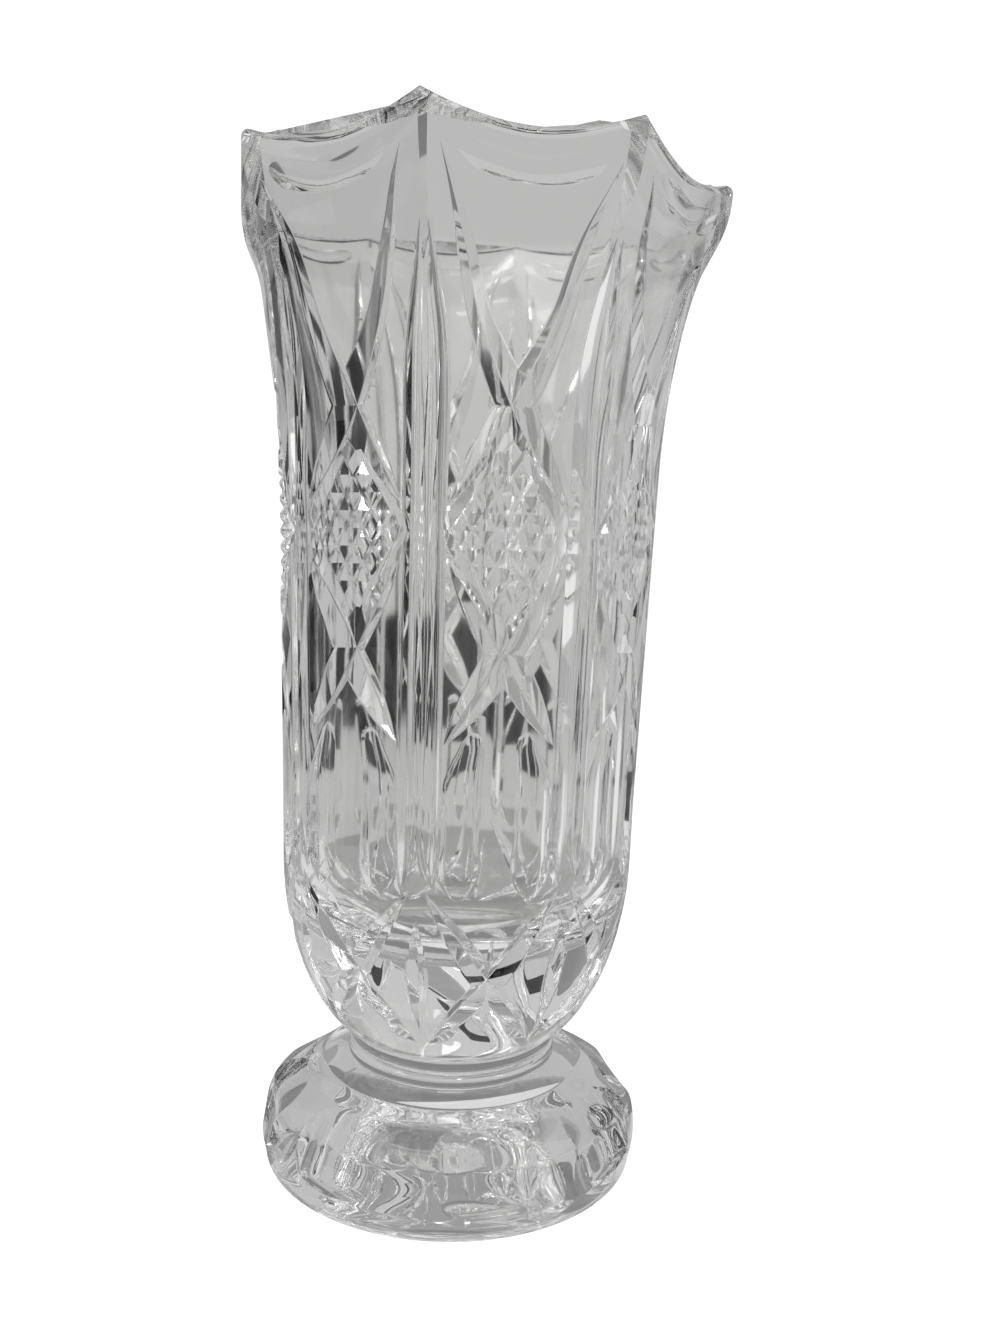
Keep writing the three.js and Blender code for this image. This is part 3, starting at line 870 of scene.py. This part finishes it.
@dataclass
class Bowl(GlassPiece):
    """The tall body, with its scalloped rim, ribs, cuts, lattice and hollow.

    Pairs are radius and height, and knots are angle from the panel's middle, height and depth.

    Attributes:
        lattice_cell: half the width and half the height of one diamond.
        lattice_point: share of its cell that the foot of a point fills, and lattice_tip its flat top's.
        rib_taper: share of the rib's width and depth that is left at a height, and that height.
        rib_top: how far from the rib's middle its groove ends, and at which height.
        spine: lower end, upper end and depth of the upright cut in each kite.
        star_leaf: the same for the upright cut between two kites.
        fan: knots from the rib's middle, as the fans spread from the ribs.
        wall: least thickness of the wall that tells its inside from its outside.
    """

    node: str = "bowl"
    finish: PressedGlass = PressedGlass("bowl_glass")
    plunger_finish: PressedGlass = PressedGlass("plunger_side_glass", polish=0.07, haze=0.1)
    sharpest: float = 12.5
    height: float = 250.0
    neck_radius: float = 27.2
    base_z: float = 33.62
    belly: Pair = (45.4, 78.0)
    waist: Pair = (48.7, 180.0)
    flare: Pair = (57.6, 229.8)
    tip_radius: float = 63.598
    lip: float = 2.1
    lip_steps: int = 9
    lip_clear: float = 0.3
    scallop_sag: float = 5.0
    flare_start_z: float = 205.0
    hollow_floor_z: float = 58.0
    hollow_belly: Pair = (37.6, 80.0)
    hollow_waist: Pair = (39.8, 180.0)
    hollow_tip_radius: float = 57.4
    hollow_overrun: float = 6.0
    columns: int = 352
    mitre_wheel: MitreWheel = MitreWheel()
    upper_leaf: tuple[Knot, ...] = (
        (-18.0, 165.5, -CLEARANCE), (-10.0, 175.6, 2.1), (0.0, 189.3, 3.5),
        (9.6, 207.0, 2.2), (13.9, 223.0, 1.4), (20.4, 246.0, -CLEARANCE),
    )
    lower_leaf: tuple[Knot, ...] = (
        (17.4, 157.5, -CLEARANCE), (9.57, 147.375, 2.3), (0.0, 135.0, 3.3),
        (-9.57, 122.625, 2.3), (-17.4, 112.5, -CLEARANCE),
    )
    lattice_mid_z: float = 162.2
    lattice_cell: Pair = (2.7, 3.95)
    lattice_cells: int = 5
    lattice_depth: float = 1.75
    lattice_tip_drop: float = 0.2
    lattice_point: float = 0.8
    lattice_tip: float = 0.12
    lattice_spread: float = 1.26
    rib_wheel: ReedWheel = ReedWheel(3.6, 2.2, 0.45)
    rib_foot_z: float = 80.0
    rib_full_z: tuple[float, ...] = (88.0, 120.0, 165.0, 200.0)
    rib_taper: Pair = (0.55, 216.0)
    rib_top: Pair = (0.3, 231.0)
    flute_wheel: ChannelWheel = ChannelWheel(4.3, 3.2, 1.55, 1.75)
    flute: tuple[Knot, ...] = (
        (10.6, 77.0, -CLEARANCE), (10.6, 84.0, 1.75), (10.6, 94.0, 1.75), (10.6, 104.0, 1.75),
        (8.4, 112.0, 1.05), (7.35, 115.5, 0.65), (6.35, 117.0, 0.25), (5.6, 117.9, -CLEARANCE),
    )
    kite: tuple[Knot, ...] = (
        (-23.3, 84.0, -CLEARANCE), (-11.25, 70.5, 1.944), (0.0, 58.0, 2.7),
        (11.25, 48.6, 1.944), (23.3, 38.4, -CLEARANCE),
    )
    spine: Triple = (40.0, 78.0, 2.2)
    star_leaf: Triple = (41.0, 75.0, 1.3)
    fan_wheel: MitreWheel = MitreWheel(Flank.FAN)
    fan: tuple[Knot, ...] = ((0.4, 40.5, -CLEARANCE), (8.25, 43.65, 1.3), (16.5, 48.0, -CLEARANCE))
    print_wheel: RoundWheel = RoundWheel(4.6)
    print_depth: float = 0.9
    print_middle_z: float = 235.8
    print_rise: float = 5.7
    print_angle: float = 18.0
    wall: float = 2.5
    hollow_slack: float = 1.0
    hollow_floor_lean: float = 0.7

    def __post_init__(self) -> None:
        """Sets up the two profiles."""
        self.seams = (self.base_z,)
        self.outside = Profile((self.neck_radius, self.base_z), [
            ((33.5, 37.5), (44.3, 52.0), self.belly),
            ((46.2, 112.0), (47.6, 150.0), self.waist),
            ((49.4, 201.0), (54.0, 222.7), self.flare),
            ((60.9, 236.3), (63.8, 240.0), (self.tip_radius, self.height)),
        ])
        self.inside = Profile((0.0, self.hollow_floor_z), [
            ((24.0, self.hollow_floor_z), (37.2, 66.0), self.hollow_belly),
            ((38.2, 115.0), (39.2, 150.0), self.hollow_waist),
            ((40.9, 209.0), (53.0, 228.0), (self.hollow_tip_radius, self.height)),
        ])

    def facet(self, angle: float, z: float) -> float:
        """Share of the round radius: the flare turns from round to eight-sided, with corners on the ribs."""
        flat = math.cos(math.radians(HALF_SECTOR)) / math.cos(math.radians(from_panel_middle(angle)))
        return 1 + (flat - 1) * smooth_step(z, self.flare_start_z, self.height)

    def scallop_dip(self, angle: float, row: float) -> float:
        """How far a row of the blank dips at an angle: rows near the rim follow its scallops."""
        across = 1 - (from_panel_middle(angle) / HALF_SECTOR) ** 2
        return self.scallop_sag * across * smooth_step(row, self.flare_start_z, self.height)

    def radius_at(self, angle: float, z: float) -> float:
        """Radius of the outside at a height. The row that dips to that height is found by a few rounds."""
        row = z
        for _ in range(4):
            row = z + self.scallop_dip(angle, row)
        return self.outside.radius(row) * self.facet(angle, row)

    def spot(self, angle: float, z: float) -> tuple[Vector, Vector]:
        """Place on the outside, and the direction out of the glass there."""
        step = 0.5
        slope = (self.radius_at(angle, z + step) - self.radius_at(angle, z - step)) / (2 * step)
        return around(angle, self.radius_at(angle, z), z), around(angle, 1.0, -slope).normalized()

    def ring(self, radius: float, z: float) -> list[Vector]:
        """One row of the blank or the hollow.

        Args:
            radius: the round radius of the row.
            z: its height on the ribs' lines.

        Returns:
            A point for each column.
        """
        angles = [k * 360.0 / self.columns for k in range(self.columns)]
        return [around(a, radius * self.facet(a, z), z - self.scallop_dip(a, z)) for a in angles]

    def rows(self, profile: Profile, counts: Sequence[int], way: float) -> list[list[Vector]]:
        """Rows of the blank or the hollow, up to the top of its half of the rounded lip.

        Args:
            profile: the outline.
            counts: how many points each of its stretches gets.
            way: -1 where the lip turns in towards the axis, and 1 where it turns out.

        Returns:
            The rows, without one for the start of the profile.
        """
        below = self.height - self.lip - self.lip_clear
        found = [self.ring(radius, z) for radius, z in profile.points(counts)[1:] if z < below]
        edge = profile.radius(self.height - self.lip)
        for i in range(self.lip_steps + 1):
            turn = math.pi / 2 * i / self.lip_steps
            shift = way * self.lip * (1 - math.cos(turn))
            found.append(self.ring(edge + shift, self.height - self.lip * (1 - math.sin(turn))))
        return found

    def blank(self) -> Shell:
        """The smooth blank, with the outer half of its rounded lip."""
        seam = circle(self.seam_radius, self.base_z, self.columns)
        neck = self.ring(self.neck_radius, self.base_z)
        return loft([seam, neck, *self.rows(self.outside, (26, 34, 20, 16), -1.0)])

    def hollow(self) -> Shell:
        """The deep hollow, with the inner half of the rounded lip."""
        rows = self.rows(self.inside, (30, 24, 30), 1.0)
        return loft([*rows, [p + Vector((0.0, 0.0, self.hollow_overrun)) for p in rows[-1]]])

    def lattice(self, middle: float) -> Shell:
        """Die for one panel's diamond points: each cell is a rhombus with one point in its middle.

        Args:
            middle: angle of the panel's middle.

        Returns:
            The die, whose underside is the print of the points.
        """
        shell = Shell()
        known: dict[Triple, int] = {}
        half_width, half_height = self.lattice_cell

        def corner(right: float, up: float, depth: float, spread: float = 1.0) -> int:
            """Index of a point of the die, made when it is first asked for."""
            key = (right, up, depth)
            if key not in known:
                across = (right + up) / 2 * half_width * spread
                z = self.lattice_mid_z + (up - right) / 2 * half_height * spread
                turn = math.degrees(across / self.outside.radius(self.lattice_mid_z))
                at, out = self.spot(middle + turn, z)
                known[key] = len(shell.points)
                shell.points.append(at - out * depth)
            return known[key]

        last = self.lattice_cells - 1
        steps = range(-last, last + 1, 2)
        cells = {(r, u) for r in steps for u in steps if abs(u - r) != 2 * last}
        offsets = ((-1, -1), (1, -1), (1, 1), (-1, 1))
        for right, up in sorted(cells):
            point, flat = self.lattice_point, self.lattice_tip
            tip = [corner(right + r * flat, up + u * flat, self.lattice_tip_drop) for r, u in offsets]
            base = [corner(right + r * point, up + u * point, self.lattice_depth) for r, u in offsets]
            low = [corner(right + r, up + u, self.lattice_depth) for r, u in offsets]
            high = [corner(right + r, up + u, -CLEARANCE, self.lattice_spread) for r, u in offsets]
            shell.faces.append(tuple(high))
            shell.faces.append(tuple(reversed(tip)))
            for k, (r, u) in enumerate(offsets):
                n = (k + 1) % 4
                shell.faces.append((low[n], low[k], base[k], base[n]))
                shell.faces.append((base[n], base[k], tip[k], tip[n]))
                if (right + r + offsets[n][0], up + u + offsets[n][1]) not in cells:
                    shell.faces.append((low[k], low[n], high[n], high[k]))
        return shell

    def rib_groove(self) -> list[Knot]:
        """Knots of the groove along one side of a rib. It runs out beside the rib's top."""
        offset, depth = self.rib_wheel.half_width, self.rib_wheel.full_depth
        share, taper_z = self.rib_taper
        top_offset, top_z = self.rib_top
        knots = [(offset, self.rib_foot_z, -CLEARANCE)]
        knots += [(offset, z, depth) for z in self.rib_full_z]
        knots += [(offset * share, taper_z, depth * share), (top_offset, top_z, -CLEARANCE)]
        return [(HALF_SECTOR - math.degrees(s / self.outside.radius(z)), z, deep) for s, z, deep in knots]

    def thumbprint(self) -> list[Knot]:
        """Knots of the shallow print that hangs under each scallop of the rim."""
        inner = [
            (self.print_angle * t, self.print_middle_z + self.print_rise * t * t, self.print_depth)
            for t in (-0.6, 0.0, 0.6)
        ]
        end_z = self.print_middle_z + self.print_rise
        return [(-self.print_angle, end_z, -CLEARANCE), *inner, (self.print_angle, end_z, -CLEARANCE)]

    def dress(self, body: bpy.types.Object) -> None:
        """Gives the hollow the softer finish that the plunger leaves, and the rest the mould's.

        Args:
            body: the bowl.
        """
        super().dress(body)
        body.data.materials.append(self.plunger_finish.material())
        count = 0
        for face in body.data.polygons:
            x, y, z = (value / MM for value in face.center)
            angle = math.degrees(math.atan2(x, -y))
            top = self.height - self.scallop_dip(angle, self.height) - self.lip
            reach = self.outside.radius(z) * self.facet(angle, z) - self.wall
            if self.hollow_floor_z - self.hollow_slack < z < top and math.hypot(x, y) < reach:
                towards = face.normal.x * x + face.normal.y * y
                if towards < 0 or face.normal.z > self.hollow_floor_lean:
                    face.material_index = 2
                    count += 1
        log.info("%s: %d faces of the hollow", body.name, count)

    def build(self) -> bpy.types.Object:
        """Cuts the blank.

        Returns:
            The bowl.
        """
        body = self.blank().solid("bowl_glass")
        carve(body, self.hollow(), "hollow")
        carve(body, in_each_panel(self.lattice), "lattice")
        for side in Side:
            rib_wheel = self.rib_wheel if side is Side.RIGHT else MirroredWheel(self.rib_wheel)
            for name, knots, count, wheel in (
                ("upper_leaves", self.upper_leaf, 44, self.mitre_wheel),
                ("lower_leaves", self.lower_leaf, 32, self.mitre_wheel),
                ("kites", self.kite, 32, self.mitre_wheel),
                ("rib_grooves", self.rib_groove(), 60, rib_wheel),
                ("flutes", self.flute, 56, self.flute_wheel),
            ):
                carve(body, grooves(knots, count, wheel, self.spot, side), name + "_" + side.name.lower())
        for name, (low, high, depth), start in (
            ("kite_spines", self.spine, 0.0), ("kite_stars", self.star_leaf, HALF_SECTOR),
        ):
            knots = ((0.0, low, -CLEARANCE), (0.0, (low + high) / 2, depth), (0.0, high, -CLEARANCE))
            carve(body, grooves(knots, 22, self.mitre_wheel, self.spot, start=start), name)
        carve(body, grooves(self.thumbprint(), 36, self.print_wheel, self.spot), "thumbprints")
        for side in Side:
            fans = grooves(self.fan, 20, self.fan_wheel, self.spot, side, 0.0)
            carve(body, fans, "fans_" + side.name.lower())
        return body


@dataclass
class StemCollar(GlassPiece):
    """The short stem, with its two rounded rings."""

    node: str = "stem_collar"
    finish: PressedGlass = PressedGlass("stem_glass")
    base_z: float = 25.42
    top_z: float = 33.6
    core_radius: float = 25.4
    lower_ring: Pair = (27.4, 27.9)
    upper_ring: Pair = (26.9, 31.8)
    ring_half_height: float = 2.05
    seam_clear: float = 0.05
    columns: int = 192

    def __post_init__(self) -> None:
        """Both of its ends are seams."""
        self.seams = (self.base_z, self.top_z)
        self.seam_radius = self.core_radius

    def ring_arc(self, ring: Pair, steps: int = 16) -> list[Pair]:
        """Outline of one ring, from its lower edge to its upper one."""
        radius, z = ring
        found = []
        for i in range(steps + 1):
            turn = math.pi * i / steps
            bulge = math.sin(turn)
            found.append((
                self.core_radius + (radius - self.core_radius) * bulge,
                z - self.ring_half_height * math.cos(turn),
            ))
        return found

    def build(self) -> bpy.types.Object:
        """Turns the stem's outline.

        Returns:
            The stem.
        """
        outline = [p for p in self.ring_arc(self.lower_ring) if p[1] > self.base_z + self.seam_clear]
        outline += [p for p in self.ring_arc(self.upper_ring)[1:-1] if p[1] < self.top_z - self.seam_clear]
        outline = [(self.core_radius, self.base_z), *outline, (self.core_radius, self.top_z)]
        return loft([circle(radius, z, self.columns) for radius, z in outline]).solid("stem_glass")


@dataclass
class Foot(GlassPiece):
    """The domed round foot, with a thin upright edge, eight prints above and a hollow underneath."""

    node: str = "foot"
    finish: PressedGlass = PressedGlass("foot_glass")
    top_z: float = 25.4
    sole: Pair = (47.2, 0.0)
    edge: Pair = (48.4, 1.8)
    crease: Pair = (49.3, 6.2)
    side: Pair = (47.6, 16.4)
    shoulder: Pair = (38.6, 22.2)
    shelf: Pair = (33.5, 25.1)
    print_wheel: FlatWheel = FlatWheel(12.5, 0.3)
    print_knots: tuple[Knot, ...] = (
        (0.0, 6.5, -0.2), (0.0, 8.2, 1.0), (0.0, 12.0, 1.6),
        (0.0, 16.5, 1.7), (0.0, 20.3, 1.1), (0.0, 23.6, -0.2),
    )
    sole_inner_radius: float = 43.0
    recess_depth: float = 7.5
    recess_overrun: float = 2.0
    recess_pole: float = 0.02
    recess_rows: int = 24
    seat_step: float = 0.8
    columns: int = 320

    def __post_init__(self) -> None:
        """Sets up the outer profile."""
        self.seams = (self.top_z,)
        self.outside = Profile(self.sole, [
            ((47.8, 0.05), (48.25, 0.7), self.edge),
            ((48.6, 3.2), (49.0, 4.8), self.crease),
            ((49.5, 8.5), (49.5, 13.4), self.side),
            ((46.0, 18.9), (41.4, 21.0), self.shoulder),
            ((36.8, 23.0), (35.4, 25.0), self.shelf),
        ])

    def blank(self) -> Shell:
        """The foot's outside."""
        outline = self.outside.points((8, 8, 16, 12, 12))
        outline += [(self.seam_radius + self.seat_step, self.shelf[1]), (self.seam_radius, self.top_z)]
        return loft([circle(radius, z, self.columns) for radius, z in outline])

    def dome(self, angle: float, z: float) -> tuple[Vector, Vector]:
        """Place on the dome, and the direction out of the glass there."""
        step = 0.3
        fall = self.outside.radius(z - step) - self.outside.radius(z + step)
        out = around(angle, 2 * step, fall).normalized()
        return around(angle, self.outside.radius(z), z), out

    def recess(self) -> Shell:
        """The hollow under the foot."""
        rings = [circle(self.sole_inner_radius, -self.recess_overrun, self.columns)]
        for share in np.linspace(1.0, self.recess_pole, self.recess_rows):
            z = self.recess_depth * (1 - float(share) ** 2)
            rings.append(circle(self.sole_inner_radius * float(share), z, self.columns))
        return loft(rings)

    def build(self) -> bpy.types.Object:
        """Cuts the prints and the hollow.

        Returns:
            The foot.
        """
        body = self.blank().solid("foot_glass")
        carve(body, self.recess(), "recess")
        carve(body, grooves(self.print_knots, 36, self.print_wheel, self.dome), "prints")
        return body


# Studio


@dataclass(frozen=True)
class Softbox:
    """One soft lamp that faces the vase."""

    name: str
    azimuth: float
    elevation: float
    distance: float
    width: float
    height: float
    power: float

    def place(self, aim: Vector) -> None:
        """Hangs the lamp.

        Args:
            aim: the point that it faces.
        """
        data = bpy.data.lights.new(self.name, "AREA")
        data.shape = "RECTANGLE"
        data.size, data.size_y = self.width, self.height
        data.energy = self.power
        lamp = bpy.data.objects.new(self.name, data)
        a, e = math.radians(self.azimuth), math.radians(self.elevation)
        away = Vector((math.sin(a) * math.cos(e), -math.cos(a) * math.cos(e), math.sin(e)))
        lamp.location = aim + away * self.distance
        lamp.rotation_euler = (-away).to_track_quat("-Z", "Y").to_euler()
        lamp.visible_camera = False
        bpy.context.scene.collection.objects.link(lamp)


@dataclass(frozen=True)
class Panel:
    """Part of the room or of the table top that is lighter or darker than what is round it. The table top
    glows for the rays that the glass bends, so its panels are painted light and painted shade.

    Bearings are in degrees about the vase: 0 is -Y, on the camera's side, 90 is -X, on its left, and 180 is
    +Y, behind the vase.

    Attributes:
        name: what it stands for.
        start: the bearing where it starts.
        span: the bearing that it covers.
        low: its lower edge, as the sine of its elevation, or its inner radius on the table.
        high: its upper edge or its outer radius.
        grey: how light it is.
    """

    name: str
    start: float
    span: float
    low: float
    high: float
    grey: float


@dataclass
class Studio:
    """Pale floor, soft light and the camera.

    Attributes:
        white: how light the background is to the camera.
        aim: the point that the lamps face.
        wall: grey of the room where it has no panel.
        table: grey that the table top glows with where it has no panel, painted light for the rays that the
            glass bends.
    """

    camera_at: Vector = Vector((0.05885, -0.28914, 0.15187))
    yaw: float = -0.1683
    pitch: float = 0.0759
    roll: float = 0.0343
    focal_pixels: float = 1126.8
    long_side_pixels: float = 1330.0
    sensor: float = 36.0
    white: float = 1.08
    floor_radius: float = 6.0
    floor_gap: float = 0.0002
    aim: Vector = Vector((0.0, 0.0, 0.12))
    wall: float = 0.4
    room: tuple[Panel, ...] = (
        Panel("doorway", 50.0, 60.0, -1.0, 0.25, 0.0),
        Panel("door_frame", 70.0, 10.0, -1.0, 0.25, 0.3),
        Panel("curtain", 120.0, 20.0, -1.0, 0.25, 0.2),
        Panel("pale_backdrop", 140.0, 70.0, -1.0, 0.25, 0.55),
        Panel("backdrop_edge", 210.0, 10.0, -1.0, 0.25, 0.1),
        Panel("narrow_window", 230.0, 10.0, -1.0, 0.25, 0.65),
        Panel("upper_wall", 0.0, 360.0, 0.25, 0.6, 0.5),
        Panel("cupboard", 120.0, 30.0, 0.25, 0.6, 0.2),
        Panel("high_shade", 210.0, 30.0, 0.25, 0.6, 0.3),
        Panel("high_window", 270.0, 30.0, 0.25, 0.6, 0.65),
        Panel("ceiling", 0.0, 360.0, 0.6, 1.1, 0.75),
        Panel("dark_ceiling", 120.0, 120.0, 0.6, 1.1, 0.3),
        Panel("lit_ceiling", 240.0, 120.0, 0.6, 1.1, 1.1),
    )
    table: float = 0.5
    # painted light and shade: greys that the table top glows with for the rays that the glass bends
    painted_table_light_and_shade: tuple[Panel, ...] = (
        Panel("painted_light_round_the_vase", 240.0, 180.0, 0.0, 0.35, 0.75),
        Panel("painted_light_on_the_left", 60.0, 60.0, 0.08, 0.35, 0.7),
        # painted shadow of the vase on the table top: darker under the foot and behind it
        Panel("painted_shadow_under_the_foot", 60.0, 180.0, 0.0, 0.08, 0.2),
        Panel("painted_shade_behind", 120.0, 120.0, 0.08, 0.35, 0.3),
        Panel("painted_light_on_the_right", 240.0, 60.0, 0.16, 0.9, 0.85),
        # painted shade: black in front of the vase
        Panel("painted_shade_in_front", 0.0, 60.0, 0.35, 0.9, 0.0),
        Panel("dark_floor", 0.0, 180.0, 0.9, 9.0, 0.0),
    )
    lamps: tuple[Softbox, ...] = (
        Softbox("window_left", -50.0, 38.0, 1.6, 0.4, 0.5, 2.0),
        Softbox("window_right", 70.0, 30.0, 1.8, 0.2, 0.5, 1.2),
        Softbox("ceiling", 10.0, 75.0, 1.6, 0.3, 0.3, 1.5),
        Softbox("spark", 25.0, 48.0, 1.4, 0.12, 0.12, 1.5),
    )

    def panels(
        self, graph: Graph, where: bpy.types.NodeSocket, across: bpy.types.NodeSocket, ground: float,
        panels: Sequence[Panel],
    ) -> bpy.types.NodeSocket:
        """Grey level with panels laid over it, each over those before it.

        Args:
            graph: where to add its nodes.
            where: the point or direction from the vase.
            across: what the panels' lower and upper edges are measured in.
            ground: the grey where there is no panel.
            panels: what is laid over it.

        Returns:
            The grey.
        """
        axes = graph.add("SeparateXYZ", Vector=where).outputs
        compass = graph.maths("DIVIDE", graph.maths("ARCTAN2", axes["X"], axes["Y"]), 2 * math.pi)
        turn = graph.maths("ADD", compass, 0.5)
        grey: Feed = ground
        for panel in panels:
            beyond = graph.maths("FRACT", graph.maths("SUBTRACT", turn, panel.start / 360.0))
            inside = graph.maths("LESS_THAN", beyond, panel.span / 360.0)
            for side, limit in (("GREATER_THAN", panel.low), ("LESS_THAN", panel.high)):
                inside = graph.maths("MULTIPLY", inside, graph.maths(side, across, limit))
            grey = graph.blend(inside, grey, panel.grey)
        return grey

    def bent_ray(self, graph: Graph) -> bpy.types.NodeSocket:
        """Whether a ray comes through the glass or off it."""
        ray = graph.add("LightPath").outputs
        return graph.maths("MAXIMUM", ray["Is Transmission Ray"], ray["Is Glossy Ray"])

    def world(self) -> None:
        """White behind the vase, and for what its glass bends a room with windows and dark corners."""
        world = bpy.data.worlds.new("soft_room")
        bpy.context.scene.world = world
        world.use_nodes = True
        graph = Graph(world.node_tree)
        way = graph.add("TexCoord").outputs["Generated"]
        height = graph.add("SeparateXYZ", Vector=way).outputs["Z"]
        room = self.panels(graph, way, height, self.wall, self.room)
        back = graph.add("Background", Color=graph.blend(self.bent_ray(graph), self.white, room))
        graph.add("OutputWorld", Surface=back.outputs["Background"])

    def floor(self) -> None:
        """A wide pale floor. Rays that the glass bends see instead a glowing table top, with painted light
        round the vase and painted shade in places, including a painted shadow under the foot.
        """
        work = bmesh.new()
        bmesh.ops.create_circle(work, cap_ends=True, segments=96, radius=self.floor_radius)
        mesh = bpy.data.meshes.new("pale_floor")
        work.to_mesh(mesh)
        work.free()
        floor = bpy.data.objects.new("pale_floor", mesh)
        floor.location.z = -self.floor_gap
        bpy.context.scene.collection.objects.link(floor)
        made, graph = new_material("pale_floor")
        paint = graph.add("BsdfPrincipled", Base_Color=0.97, Roughness=0.9, Specular_IOR_Level=0.1)
        place = graph.add("NewGeometry").outputs["Position"]
        # painted light and shade: the table top glows with these greys instead of being lit
        top = self.panels(graph, place, graph.length(place), self.table, self.painted_table_light_and_shade)
        graph.surface(self.bent_ray(graph), paint, graph.add("Emission", Color=top))
        mesh.materials.append(made)

    def camera(self) -> None:
        """The photograph's camera: where it stands, how it is turned and its lens."""
        data = bpy.data.cameras.new("camera")
        data.sensor_width = self.sensor
        data.lens = self.focal_pixels / self.long_side_pixels * self.sensor
        data.clip_start, data.clip_end = 0.01, 50.0
        ahead = Vector((
            math.sin(self.yaw) * math.cos(self.pitch),
            math.cos(self.yaw) * math.cos(self.pitch),
            -math.sin(self.pitch),
        ))
        level = ahead.cross(Vector((0.0, 0.0, 1.0))).normalized()
        upright = level.cross(ahead)
        right = math.cos(self.roll) * level + math.sin(self.roll) * upright
        up = -math.sin(self.roll) * level + math.cos(self.roll) * upright
        camera = bpy.data.objects.new("camera", data)
        turn = Matrix((right, up, -ahead)).transposed()
        camera.matrix_world = Matrix.Translation(self.camera_at) @ turn.to_4x4()
        bpy.context.scene.collection.objects.link(camera)
        bpy.context.scene.camera = camera

    def light_paths(self) -> None:
        """Enough bounces for light to pass both walls of the vase, and plain colours."""
        scene = bpy.context.scene
        scene.cycles.max_bounces = 24
        scene.cycles.transmission_bounces = 24
        scene.cycles.glossy_bounces = 12
        scene.cycles.transparent_max_bounces = 32
        scene.cycles.caustics_reflective = False
        scene.cycles.caustics_refractive = False
        scene.cycles.sample_clamp_indirect = 6.0
        scene.cycles.blur_glossy = 0.0
        scene.cycles.use_denoising = True
        scene.view_settings.view_transform = "Standard"
        scene.view_settings.look = "None"

    def build(self) -> None:
        """Sets up the whole studio."""
        self.camera()
        self.world()
        self.floor()
        for lamp in self.lamps:
            lamp.place(self.aim)
        self.light_paths()
        log.info("studio: %d lamps", len(self.lamps))


def main() -> None:
    """Builds the studio and the three pieces."""
    logging.basicConfig(level=logging.INFO, format="%(name)s: %(message)s")
    Studio().build()
    for piece in (Bowl(), StemCollar(), Foot()):
        made = piece.seat()
        log.info("%s stands for %s", made.name, piece.node)


if __name__ == "__main__":
    main()
